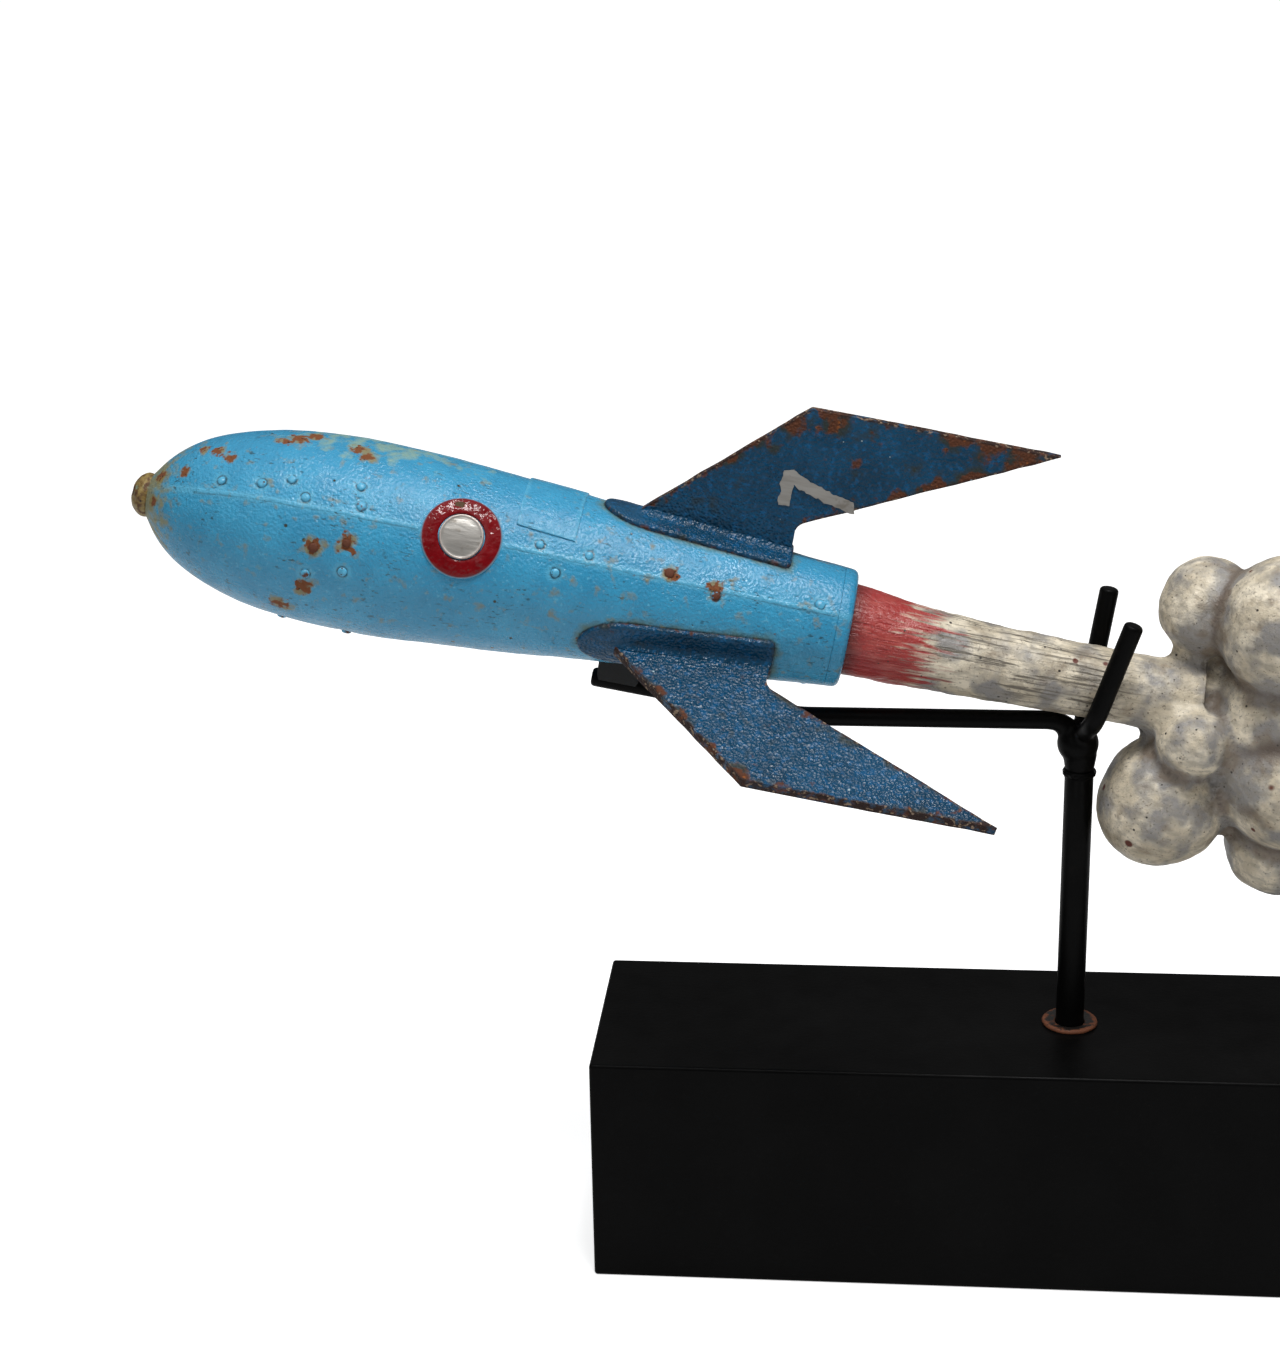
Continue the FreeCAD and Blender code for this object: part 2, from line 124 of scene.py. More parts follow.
soft_light("overhead", (0.05, -0.25, 1.3), (-0.1, 0, 0.25), 0.42, 0.16, 9.0)
soft_light("front_left", (-0.9, -1.2, 1.0), (-0.1, 0, 0.25), 0.5, 0.5, 1.3)
sky_data = bpy.data.lights.new("sky", "SUN")
sky_data.energy = 0.55
sky_data.angle = math.radians(80)
sky = bpy.data.objects.new("sky", sky_data)
sky.rotation_euler = (math.radians(14), math.radians(-10), 0)
bpy.context.scene.collection.objects.link(sky)
room = bpy.data.worlds.new("room")
bpy.context.scene.world = room
room.use_nodes = True
CEILING_LIGHT = 0.45
WALL_LIGHT = 0.04
room_tree = room.node_tree
seen = room_tree.nodes.new("ShaderNodeLightPath")
compass = room_tree.nodes.new("ShaderNodeTexCoord")
height = room_tree.nodes.new("ShaderNodeSeparateXYZ")
room_tree.links.new(compass.outputs["Generated"], height.inputs["Vector"])
glow = room_tree.nodes.new("ShaderNodeMapRange")
room_tree.links.new(height.outputs["Z"], glow.inputs["Value"])
glow.inputs["To Min"].default_value = WALL_LIGHT
glow.inputs["To Max"].default_value = CEILING_LIGHT
strength = room_tree.nodes.new("ShaderNodeMapRange")
room_tree.links.new(seen.outputs["Is Camera Ray"], strength.inputs["Value"])
room_tree.links.new(glow.outputs["Result"], strength.inputs["To Min"])
room_tree.links.new(strength.outputs["Result"], room_tree.nodes["Background"].inputs["Strength"])
room_tree.nodes["Background"].inputs["Color"].default_value = (1, 1, 1, 1)


# ---- modelling helpers ------------------------------------------------------------------------
def take(piece):
    """Selects one piece alone and makes it active."""
    bpy.ops.object.select_all(action="DESELECT")
    piece.select_set(True)
    bpy.context.view_layer.objects.active = piece


def edit(piece):
    take(piece)
    bpy.ops.object.mode_set(mode="EDIT")


def leave():
    bpy.ops.object.mode_set(mode="OBJECT")


def pick(kind, wanted):
    """In edit mode, selects only the vertices, edges or faces that pass a test."""
    bpy.ops.mesh.select_mode(type=kind)
    bpy.ops.mesh.select_all(action="DESELECT")
    shape = bmesh.from_edit_mesh(bpy.context.object.data)
    for part in {"VERT": shape.verts, "EDGE": shape.edges, "FACE": shape.faces}[kind]:
        if wanted(part):
            part.select_set(True)
    shape.select_flush_mode()
    bmesh.update_edit_mesh(bpy.context.object.data)


def start_line(points):
    """A new piece that is a chain of edges through points, made from one corner of a plane."""
    bpy.ops.object.select_all(action="DESELECT")
    bpy.ops.mesh.primitive_plane_add(size=2)
    bpy.ops.object.mode_set(mode="EDIT")
    pick("VERT", lambda v: v.co.x > 0 or v.co.y > 0)
    bpy.ops.mesh.delete(type="VERT")
    bpy.ops.mesh.select_all(action="SELECT")
    here = Vector((-1, -1, 0))
    bpy.ops.transform.translate(value=Vector(points[0]) - here)
    for before, after in zip(points, points[1:]):
        bpy.ops.mesh.extrude_region_move(TRANSFORM_OT_translate={"value": Vector(after) - Vector(before)})
    return bpy.context.object


def turned(points, steps, axis="X", degrees=360):
    """A piece turned on a lathe from an outline, all round or through some degrees."""
    piece = start_line(points)
    bpy.ops.mesh.select_all(action="SELECT")
    bpy.ops.mesh.spin(steps=steps, angle=math.radians(degrees), center=(0, 0, 0),
                      axis={"X": (1, 0, 0), "Z": (0, 0, 1)}[axis])
    bpy.ops.mesh.select_all(action="SELECT")
    bpy.ops.mesh.remove_doubles(threshold=0.001)
    bpy.ops.mesh.normals_make_consistent(inside=False)
    leave()
    return piece


def flat_face(points):
    """A piece that is one flat face inside an outline, left in edit mode."""
    piece = start_line(list(points) + [points[0]])
    bpy.ops.mesh.select_all(action="SELECT")
    bpy.ops.mesh.remove_doubles(threshold=0.001)
    bpy.ops.mesh.edge_face_add()
    return piece


def flat_grid(start, end, width, along_count, across_count):
    """A flat ruled strip along the top line."""
    bpy.ops.object.select_all(action="DESELECT")
    bpy.ops.mesh.primitive_grid_add(x_subdivisions=along_count, y_subdivisions=across_count, size=1)
    piece = bpy.context.object
    piece.scale = (end - start, width, 1)
    piece.location = ((start + end) / 2, 0, 0)
    bpy.ops.object.transform_apply(location=True, rotation=True, scale=True)
    return piece


def joined(pieces):
    """Several pieces made into one."""
    bpy.ops.object.select_all(action="DESELECT")
    for piece in pieces:
        piece.select_set(True)
    bpy.context.view_layer.objects.active = pieces[0]
    if len(pieces) > 1:
        bpy.ops.object.join()
    return bpy.context.object


def rule_lines(direction, places):
    """In edit mode, cuts every face along planes square to a direction."""
    for place in places:
        bpy.ops.mesh.select_all(action="SELECT")
        bpy.ops.mesh.bisect(plane_co=Vector(direction) * place, plane_no=direction)


def modify(piece, kind, **settings):
    """Adds a modifier and applies it."""
    take(piece)
    modifier = piece.modifiers.new(kind.lower(), kind)
    for name, value in settings.items():
        setattr(modifier, name, value)
    bpy.ops.object.modifier_apply(modifier=modifier.name)


def smooth_subdivide(piece, levels):
    modify(piece, "SUBSURF", levels=levels, render_levels=levels)


def move_vertices(piece, rule):
    """Moves every vertex to where a rule puts it."""
    moved = [rule(vertex.co.copy(), vertex.normal.copy()) for vertex in piece.data.vertices]
    piece.data.vertices.foreach_set("co", [number for co in moved for number in co])
    piece.data.update()


def note(piece, name, rule):
    """Stores a number for each vertex under a name, for the finishes to read."""
    attribute = piece.data.attributes.new(name, "FLOAT", "POINT")
    attribute.data.foreach_set("value", [rule(v.co) for v in piece.data.vertices])


def settle(piece, name, place, body, finish, stands_for=(), crease=40):
    """Names a finished piece, puts it in its place and joins it to its body."""
    take(piece)
    bpy.ops.object.transform_apply(location=True, rotation=True, scale=True)
    piece.name = name
    piece.data.name = name
    piece.data.transform(place)
    bpy.ops.object.shade_smooth_by_angle(angle=math.radians(crease))
    piece.data.materials.clear()
    piece.data.materials.append(finish)
    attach(piece, body)
    if stands_for:
        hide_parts(*stands_for)
    return piece


# ---- the hull's measured shape ----------------------------------------------------------------
RING_STEP = 4.0


def measured_radius(station):
    """The hull's radius at a station, from rays cast in at the top panel clear of nails and slots."""
    found = []
    for angle in (14, 18, 22, 26):
        out = Matrix.Rotation(math.radians(angle), 3, "X") @ Vector((0, 0, 1))
        start = ROCKET @ (Vector((station, 0, 0)) + out * 100)
        inward = (turned_axes.to_3x3() @ -out).normalized()
        hit, place, _, _ = nodes["hull_panel_top"].ray_cast(start, inward)
        if hit:
            local = TO_ROCKET @ place
            found.append(math.hypot(local.y, local.z))
    return max(found)


ring_count = int((sheet_end - sheet_start) / RING_STEP)
ring_step = (sheet_end - sheet_start - 0.2) / (ring_count - 1)
ring_sizes = [measured_radius(sheet_start + 0.1 + i * ring_step) for i in range(ring_count)]
ring_sizes = [2 * ring_sizes[0] - ring_sizes[1]] + ring_sizes
for _ in range(4):
    ring_sizes.append(2 * ring_sizes[-1] - ring_sizes[-2])


def hull_radius(station):
    """The hull's radius at a station, eased between the measured rings."""
    place = (station - sheet_start - 0.1) / ring_step + 1
    index = min(max(int(place), 1), len(ring_sizes) - 3)
    share = place - index
    before, here, there, after = ring_sizes[index - 1:index + 3]
    return here + 0.5 * share * (there - before + share * (
        2 * before - 5 * here + 4 * there - after + share * (3 * (here - there) + after - before)))


def on_hull(station, angle, height=0.0):
    """A point over the hull's surface."""
    turn = math.radians(angle)
    out = hull_radius(station) + height
    return Vector((station, -out * math.sin(turn), out * math.cos(turn)))


def lay_on_hull(piece, angle, wrapped=False):
    """Bends a piece, modelled flat along the top line, down onto the hull and turns it to its angle.

    Wrapped, its width lies along the surface. Otherwise it keeps its outline as seen from above.
    """
    turn = Matrix.Rotation(math.radians(angle), 4, "X")

    def bent(co, _):
        radius = hull_radius(co.x)
        lean = co.y / radius if wrapped else math.asin(max(-1, min(1, co.y / radius)))
        out = radius + co.z
        return turn @ Vector((co.x, out * math.sin(lean), out * math.cos(lean)))

    move_vertices(piece, bent)


# ---- finishes ---------------------------------------------------------------------------------
def srgb(code):
    """A linear colour from an sRGB hex code."""
    parts = [int(code[i:i + 2], 16) / 255 for i in (1, 3, 5)]
    return tuple(c / 12.92 if c <= 0.04045 else ((c + 0.055) / 1.055) ** 2.4 for c in parts) + (1.0,)


def add(tree, kind, inputs=(), **settings):
    """Adds a node with its settings. Each input is given a fixed value or a link from a socket."""
    made = tree.nodes.new("ShaderNode" + kind)
    for name, value in settings.items():
        setattr(made, name, value)
    for key, value in dict(inputs).items():
        if isinstance(value, bpy.types.NodeSocket):
            tree.links.new(value, made.inputs[key])
        else:
            made.inputs[key].default_value = value
    return made


def start_finish(name, rocket=True, **shader):
    """A new material: its tree, its shader, and a vector in millimetres over the piece."""
    material = bpy.data.materials.new(name)
    material.use_nodes = True
    tree = material.node_tree
    body = tree.nodes["Principled BSDF"]
    for key, value in shader.items():
        body.inputs[key.replace("_", " ")].default_value = value
    to_mm = TO_ROCKET if rocket else FROM_MM.inverted()
    place = add(tree, "Mapping", {"Vector": add(tree, "TexCoord").outputs["Object"],
                                  "Location": to_mm.translation, "Rotation": to_mm.to_euler(),
                                  "Scale": to_mm.to_scale()})
    return material, tree, body, place.outputs["Vector"]


def patches(tree, place, size, low, high, strength=1.0, bias=None, stretch=None, detail=4.0):
    """Cloudy patches of a size in millimetres, full where the noise passes from low to high."""
    if stretch:
        place = add(tree, "Mapping", {"Vector": place, "Scale": stretch}).outputs["Vector"]
    cloud = add(tree, "TexNoise", {"Vector": place, "Scale": 1 / size, "Detail": detail}).outputs["Fac"]
    if bias:
        cloud = add(tree, "Math", {0: cloud, 1: bias}, operation="ADD").outputs[0]
    return add(tree, "MapRange", {"Value": cloud, "From Min": low, "From Max": high,
                                  "To Max": strength}).outputs["Result"]


def specks(tree, place, spacing, share, strength=1.0):
    """Round specks of uneven size, one at most in each cell of a spacing in millimetres."""
    cells = add(tree, "TexVoronoi", {"Vector": place, "Scale": 1 / spacing})
    chance = add(tree, "SeparateColor", {"Color": cells.outputs["Color"]}).outputs["Red"]
    size = add(tree, "Math", {0: chance, 1: 3.0}, operation="POWER").outputs[0]
    size = add(tree, "Math", {0: size, 1: share}, operation="MULTIPLY").outputs[0]
    return add(tree, "MapRange", {"Value": cells.outputs["Distance"], "From Min": size,
                                  "From Max": add(tree, "Math", {0: size, 1: 0.7},
                                                  operation="MULTIPLY").outputs[0],
                                  "To Max": strength}).outputs["Result"]


def noted(tree, name, near, far, start=1.0, end=0.0):
    """A noted number of the piece, eased from its value near to its value far."""
    number = add(tree, "Attribute", attribute_name=name).outputs["Fac"]
    return add(tree, "MapRange", {"Value": number, "From Min": near, "From Max": far,
                                  "To Min": start, "To Max": end}).outputs["Result"]


def layered(tree, base, layers):
    """Lays colours or numbers over a base, one after another, each where its amount says."""
    number = isinstance(base, float)
    under, over, result = (2, 3, 0) if number else (6, 7, 2)
    for amount, value in layers:
        base = add(tree, "Mix", {0: amount, under: base, over: value},
                   data_type="FLOAT" if number else "RGBA").outputs[result]
    return base


def relief(tree, shader, layers):
    """Raises the surface by each height in turn, by a depth in millimetres."""
    normal = None
    for height, depth in layers:
        bump = add(tree, "Bump", {"Height": height, "Distance": abs(depth) * MM}, invert=depth < 0)
        if normal:
            tree.links.new(normal, bump.inputs["Normal"])
        normal = bump.outputs["Normal"]
    tree.links.new(normal, shader.inputs["Normal"])


def coat(tree, shader, colour, roughness):
    tree.links.new(colour, shader.inputs["Base Color"])
    tree.links.new(roughness, shader.inputs["Roughness"])


def make_sky_enamel():
    """Brushed enamel on tinplate: a glossy, finely lumpy skin, pitted and stained by rust, with painted highlights
    and painted shade round its nails, seams and fin shoes.
    """
    material, tree, shader, place = start_finish("sky_enamel")
    axes = add(tree, "SeparateXYZ", {"Vector": place}).outputs
    rust_bias = noted(tree, "rust", 0.0, 1.0, -0.18, 0.30)
    stain = patches(tree, place, 5.0, 0.42, 0.62, 0.85, rust_bias)
    rust = patches(tree, place, 2.4, 0.54, 0.62, 1.0, rust_bias)
    # handling and damp stain the nose and the very top
    nose = add(tree, "MapRange", {"Value": axes["X"], "From Min": sheet_start, "From Max": 32.0,
                                  "To Min": 0.26, "To Max": -0.3}).outputs["Result"]
    tan = patches(tree, place, 4.0, 0.44, 0.66, 0.8, nose)
    crown = add(tree, "MapRange", {"Value": axes["Z"], "From Min": 35.0, "From Max": 40.5,
                                   "To Min": -0.3, "To Max": 0.08}).outputs["Result"]
    damp = patches(tree, place, 6.0, 0.42, 0.62, 0.7, crown)
    grime = patches(tree, place, 7.0, 0.38, 0.80, 0.75, noted(tree, "fitting", 0.5, 5.0, 0.22, -0.3))
    # Painted shade: near-black on the hull within a millimetre of each fin shoe's edge, where the gap under the
    # shoe lies in shadow.
    painted_gap_shade = noted(tree, "fitting", 0.2, 0.9, 0.85, 0.0)
    pits = specks(tree, place, 8.0, 0.13)
    ticks = patches(tree, place, 1.5, 0.60, 0.66, patches(tree, place, 15, 0.46, 0.60, 0.9),
                    stretch=(0.5, 1.4, 1.4))
    # Painted highlight: a pale ring round each nail's dent. Painted shade: a dark ring just outside each nail
    # head, broken up by noise.
    nail_painted_highlight = noted(tree, "nail", 2.4, 4.6, 0.4, 0.0)
    ring = noted(tree, "nail", 2.1, 2.9, 0.85, 0.0)
    ring = patches(tree, place, 2.0, 0.36, 0.56, ring)
    # Pale along the seams and the hatch's edges: partly paint worn thin on the raised edges, partly a painted
    # highlight where they catch the light.
    seam = noted(tree, "seam", 0.8, 2.6, 0.35, 0.0)
    colour = layered(tree, srgb("#2E8DB6"), (
        (patches(tree, place, 40, 0.40, 0.62, 0.5), srgb("#3FA2CA")),
        (patches(tree, place, 9, 0.45, 0.62, 0.35), srgb("#2A80A8")),
        (patches(tree, place, 1.6, 0.62, 0.70, 0.4), srgb("#6FBBD6")),
        (seam, srgb("#6DB8D2")),
        (nail_painted_highlight, srgb("#6CBBD6")),
        (damp, srgb("#8DA58A")),
        (tan, srgb("#8E8349")),
        (grime, srgb("#58674A")),
        (painted_gap_shade, srgb("#14130F")),
        (ticks, srgb("#22505F")),
        (pits, srgb("#2B3026")),
        (ring, srgb("#1C2A2C")),
        (stain, srgb("#84733A")),
        (rust, srgb("#74411D")),
        (specks(tree, place, 1.2, 0.5, rust), srgb("#2C160C"))))
    roughness = layered(tree, 0.2, (
        (patches(tree, place, 12, 0.45, 0.65), 0.33), (damp, 0.5), (tan, 0.5),
        (grime, 0.55), (stain, 0.6), (rust, 0.85)))
    coat(tree, shader, colour, roughness)
    peel = add(tree, "TexNoise", {"Vector": place, "Scale": 0.8, "Detail": 3.0}).outputs["Fac"]
    relief(tree, shader, ((peel, 0.6), (pits, -0.12), (ticks, -0.08), (rust, -0.10),
                          (patches(tree, place, 0.9, 0.3, 0.7, rust), 0.15)))
    return material


def make_deep_enamel():
    """Dark hammered enamel on steel plate: a cellular skin that glitters, rusted along its edges."""
    material, tree, shader, place = start_finish("deep_enamel", Specular_IOR_Level=0.28)
    edge_bias = noted(tree, "edge", 0.0, 4.0, 0.03, -0.16)
    rust_bias = noted(tree, "rust", 0.0, 1.0, 0.0, 0.42)
    bias = add(tree, "Math", {0: edge_bias, 1: rust_bias}, operation="ADD").outputs[0]
    stain = patches(tree, place, 8.0, 0.44, 0.62, 0.85, bias)
    rust = patches(tree, place, 3.6, 0.52, 0.66, 0.9, bias)
    bare = noted(tree, "edge", 0.15, 1.1, 1.0, 0.0)
    worn = patches(tree, place, 4.0, 0.38, 0.50, bare)
    chips = specks(tree, place, 6.5, 0.10)
    colour = layered(tree, srgb("#033550"), (
        (patches(tree, place, 25, 0.42, 0.62, 0.6), srgb("#0B4A6D")),
        (patches(tree, place, 2.6, 0.52, 0.66, 0.35), srgb("#12639A")),
        (stain, srgb("#2B2E22")),
        (rust, srgb("#5A3018")),
        (specks(tree, place, 2.2, 0.45, rust), srgb("#8A4E22")),
        (worn, srgb("#2A1813")),
        (patches(tree, place, 2.0, 0.58, 0.64, bare), srgb("#8F7A66")),
        (chips, srgb("#9FB4BC"))))
    roughness = layered(tree, 0.25, ((patches(tree, place, 6, 0.4, 0.7), 0.36),
                                     (stain, 0.55), (rust, 0.8), (worn, 0.75)))
    coat(tree, shader, colour, roughness)
    hammered = add(tree, "TexVoronoi", {"Vector": place, "Scale": 0.85, "Smoothness": 0.5},
                   feature="SMOOTH_F1").outputs["Distance"]
    relief(tree, shader, ((hammered, 0.5), (rust, -0.1),
                          (patches(tree, place, 0.8, 0.3, 0.7, rust), 0.15)))
    return material


def make_red_enamel():
    """Thick glossy dark red enamel, brushed on by hand, chipped to rust here and there."""
    material, tree, shader, place = start_finish("red_enamel", Specular_IOR_Level=0.28)
    # Painted highlight: pale blue round the ring's outer edge.
    rim = noted(tree, "rim", 0.2, 0.9, 0.85, 0.0)
    chips = patches(tree, place, 4.0, 0.56, 0.60, 1.0, noted(tree, "rust", 0.0, 1.0, -0.14, 0.3))
    colour = layered(tree, srgb("#6C050C"), (
        (patches(tree, place, 6, 0.42, 0.62, 0.5), srgb("#7D0912")),
        (specks(tree, place, 3.5, 0.2), srgb("#2A0708")),
        (rim, srgb("#6FAFC8")),
        (chips, srgb("#4E3A22")),
        (specks(tree, place, 1.4, 0.5, chips), srgb("#1E120C"))))
    coat(tree, shader, colour, layered(tree, 0.14, ((chips, 0.7), (rim, 0.35))))
    wavy = add(tree, "TexNoise", {"Vector": place, "Scale": 0.45, "Detail": 2.0}).outputs["Fac"]
    relief(tree, shader, ((wavy, 0.5), (chips, -0.12)))
    return material


def make_silver_paint():
    """Aluminium paint, laid on with a bristle brush along the rocket: dull metal with brush lines."""
    material, tree, shader, place = start_finish("silver_paint", Metallic=0.55)
    lines = patches(tree, place, 2.2, 0.35, 0.70, 0.8, stretch=(0.16, 1, 1))
    worn = patches(tree, place, 5.0, 0.56, 0.68, 0.6)
    # The pale colour on the noted rim is a painted highlight on the disc's raised lip.
    colour = layered(tree, srgb("#A19E99"), (
        (lines, srgb("#8B8781")), (worn, srgb("#6D6459")),
        (specks(tree, place, 3.0, 0.22), srgb("#2B2622")),
        (noted(tree, "rim", 0.0, 1.0, 0.0, 1.0), srgb("#BDB3AC"))))
    coat(tree, shader, colour, layered(tree, 0.36, ((lines, 0.5), (worn, 0.6))))
    relief(tree, shader, ((lines, 0.10),))
    return material


def make_cap_paint():
    """Sky enamel worn off the nose to ochre primer and rust: mottled, dull, smooth at the tip."""
    material, tree, shader, place = start_finish("cap_paint")
    rust = patches(tree, place, 4.0, 0.50, 0.60, 0.9)
    colour = layered(tree, srgb("#8F7A43"), (
        (patches(tree, place, 3.0, 0.42, 0.60, 0.8), srgb("#6F5426")),
        (patches(tree, place, 5.0, 0.58, 0.66, 0.7), srgb("#7FA08C")),
        (rust, srgb("#4E2D17")), (specks(tree, place, 2.0, 0.3), srgb("#1F1611"))))
    coat(tree, shader, colour, layered(tree, 0.35, ((rust, 0.75),)))
    relief(tree, shader, ((patches(tree, place, 1.6, 0.3, 0.7), 0.25),))
    return material


def make_nail_paint():
    """Hammered nail heads under the sky enamel: domed and glossy, the oldest rusted through."""
    material, tree, shader, place = start_finish("nail_paint")
    rust = patches(tree, place, 2.0, 0.45, 0.60, 1.0, noted(tree, "rust", 0.0, 1.0, -0.25, 0.35))
    colour = layered(tree, srgb("#57AED2"), (
        (patches(tree, place, 1.5, 0.45, 0.6, 0.5), srgb("#3C8CB0")),
        (specks(tree, place, 1.8, 0.4), srgb("#29383A")),
        (rust, srgb("#5A2E18"))))
    coat(tree, shader, colour, layered(tree, 0.22, ((rust, 0.8),)))
    relief(tree, shader, ((patches(tree, place, 0.8, 0.3, 0.7), 0.10),))
    return material


def make_smoke_paint():
    """Chalky paint on carved wood: red flame brushed out along the stem, then cream under a grey
    and brown wash that has settled in the hollows, and painted shade along the creases where balls meet."""
    material, tree, shader, place = start_finish("smoke_paint")
    station = add(tree, "SeparateXYZ", {"Vector": place}).outputs["X"]
    streaky = (0.07, 1, 1)
    flame = add(tree, "MapRange", {"Value": station, "From Min": tail, "From Max": tail + 58,
                                   "To Min": 0.45, "To Max": -0.38}).outputs["Result"]
    scorch = add(tree, "MapRange", {"Value": station, "From Min": tail, "From Max": tail + 7,
                                    "To Min": 0.75, "To Max": 0.0}).outputs["Result"]
    red = patches(tree, place, 1.6, 0.42, 0.60, 0.92, flame, streaky)
    pale_red = patches(tree, place, 1.1, 0.52, 0.70, 0.5, stretch=streaky)
    on_stem = add(tree, "MapRange", {"Value": station, "From Min": fork_station + 8,
                                     "From Max": fork_station + 30, "To Min": 1.0,
                                     "To Max": 0.0}).outputs["Result"]
    grain = patches(tree, place, 1.3, 0.52, 0.66, on_stem, stretch=(0.05, 1, 1))
    hollow = noted(tree, "crease", 1.0, 9.0, 0.20, -0.05)
    grey = patches(tree, place, 15, 0.42, 0.56, 0.8, hollow)
    brown = patches(tree, place, 11, 0.52, 0.66, 0.7, hollow)
    wash = patches(tree, place, 2.6, 0.46, 0.64, 0.5, stretch=(0.4, 1, 1))
    # Darkest right along the creases where two balls meet: partly the wash settled there, partly painted shade.
    crease_wash_and_shade = noted(tree, "crease", 0.2, 3.5, 0.8, 0.0)
    grit = specks(tree, place, 3.6, 0.2)
    rust = specks(tree, place, 12, 0.20)
    colour = layered(tree, srgb("#C6BAA3"), (
        (patches(tree, place, 13, 0.46, 0.60, 0.8), srgb("#EADFC9")),
        (grey, srgb("#74757A")),
        (brown, srgb("#75634E")),
        (wash, srgb("#8F887B")),
        (grain, srgb("#6E675A")),
        (crease_wash_and_shade, srgb("#4A3E38")),
        (patches(tree, place, 1.2, 0.60, 0.68, 0.6), srgb("#5F564A")),
        (red, layered(tree, srgb("#9C1519"), ((pale_red, srgb("#C4605A")),))),
        (scorch, srgb("#4C1814")),
        (grit, srgb("#3A342D")),
        (rust, srgb("#5E2A1A"))))
    coat(tree, shader, colour, layered(tree, 0.42, ((wash, 0.6), (red, 0.33))))
    relief(tree, shader, ((patches(tree, place, 2.6, 0.2, 0.8), 0.35), (grain, -0.25),
                          (patches(tree, place, 0.8, 0.3, 0.7), 0.12), (grit, -0.15)))
    return material


def make_black(name, peel, roughness, worn_to, shine):
    """Satin black paint: near-black, with a fine spray texture and a few rubbed places."""
    material, tree, shader, place = start_finish(name, rocket=False, Specular_IOR_Level=shine)
    rubbed = patches(tree, place, 5.0, 0.64, 0.72, 0.35)
    colour = layered(tree, srgb("#050505"), ((patches(tree, place, 30, 0.4, 0.7), srgb("#080808")),
                                             (rubbed, srgb(worn_to))))
    coat(tree, shader, colour, layered(tree, roughness, ((patches(tree, place, 14, 0.4, 0.7),
                                                          roughness + 0.1),)))
    relief(tree, shader, ((patches(tree, place, peel, 0.2, 0.8), 0.05),))
    return material


def make_bare_pine():
    """Turned softwood, out of sight: pale, with growth rings along the axis."""
    material, tree, shader, place = start_finish("bare_pine")
    rings = add(tree, "TexWave", {"Vector": place, "Scale": 0.09, "Distortion": 3.0}, wave_type="RINGS",
                rings_direction="X").outputs["Fac"]
    colour = layered(tree, srgb("#CDAE7E"), ((rings, srgb("#B08A55")),))
    coat(tree, shader, colour, layered(tree, 0.65, ((rings, 0.75),)))
    relief(tree, shader, ((rings, 0.1),))
    return material


def make_pad_rubber():
    """Moulded black rubber: matt and faintly dusty."""
    material, tree, shader, place = start_finish("pad_rubber", rocket=False)
    dust = patches(tree, place, 3.0, 0.50, 0.70, 0.5)
    colour = layered(tree, srgb("#101010"), ((dust, srgb("#262524")),))
    coat(tree, shader, colour, layered(tree, 0.75, ((dust, 0.9),)))
    relief(tree, shader, ((patches(tree, place, 0.6, 0.3, 0.7), 0.05),))
    return material


def make_ferrule_iron():
    """Forge-blackened iron washer, rusted brown where it is handled, round its rim."""
    material, tree, shader, place = start_finish("ferrule_iron", rocket=False)
    rust = patches(tree, place, 2.5, 0.44, 0.60, 0.9, noted(tree, "edge", 0.0, 3.0, 0.2, -0.12))
    colour = layered(tree, srgb("#15100D"), ((rust, srgb("#6B3A1E")),
                                             (specks(tree, place, 1.4, 0.4), srgb("#0B0807"))))
    coat(tree, shader, colour, layered(tree, 0.45, ((rust, 0.8),)))
    relief(tree, shader, ((patches(tree, place, 0.8, 0.3, 0.7), 0.10),))
    return material


sky_enamel = make_sky_enamel()
deep_enamel = make_deep_enamel()
red_enamel = make_red_enamel()
silver_paint = make_silver_paint()
cap_paint = make_cap_paint()
nail_paint = make_nail_paint()
smoke_paint = make_smoke_paint()
stand_black = make_black("stand_black", 0.8, 0.36, "#15110F", 0.06)
base_lacquer = make_black("base_lacquer", 2.0, 0.34, "#0C0C0C", 0.05)
bare_pine = make_bare_pine()
pad_rubber = make_pad_rubber()
ferrule_iron = make_ferrule_iron()
def make_floor_paper():
    """White paper sweep, lit from below as well so that it shows as pure white."""
    material, tree, shader, place = start_finish("floor_paper", rocket=False, Specular_IOR_Level=0.0)
    colour = layered(tree, srgb("#F6F6F6"), ((patches(tree, place, 400, 0.3, 0.7, 0.3), srgb("#FAFAFA")),))
    coat(tree, shader, colour, patches(tree, place, 50, 0.0, 0.1, 0.9))
    shader.inputs["Emission Color"].default_value = (1, 1, 1, 1)
    seen_by_camera = add(tree, "LightPath").outputs["Is Camera Ray"]
    glow = add(tree, "Math", {0: seen_by_camera, 1: 0.62}, operation="MULTIPLY").outputs[0]
    tree.links.new(glow, shader.inputs["Emission Strength"])
    return material


floor_paper = make_floor_paper()

finish_by_slot = {"hull_paint": sky_enamel, "fin_paint": deep_enamel, "ring_paint": red_enamel,
                  "disc_paint": silver_paint, "cap_metal": cap_paint, "nail_iron": nail_paint,
                  "bare_pine": bare_pine, "plume_paint": smoke_paint, "smoke_paint": smoke_paint,
                  "stand_black": stand_black, "pad_rubber": pad_rubber,
                  "base_lacquer": base_lacquer, "ferrule_iron": ferrule_iron}
for subpart in frame["record"]["subparts"]:
    slots = nodes[subpart["node"]].data.materials
    slots.clear()
    slots.append(finish_by_slot[subpart["material_slot"]])


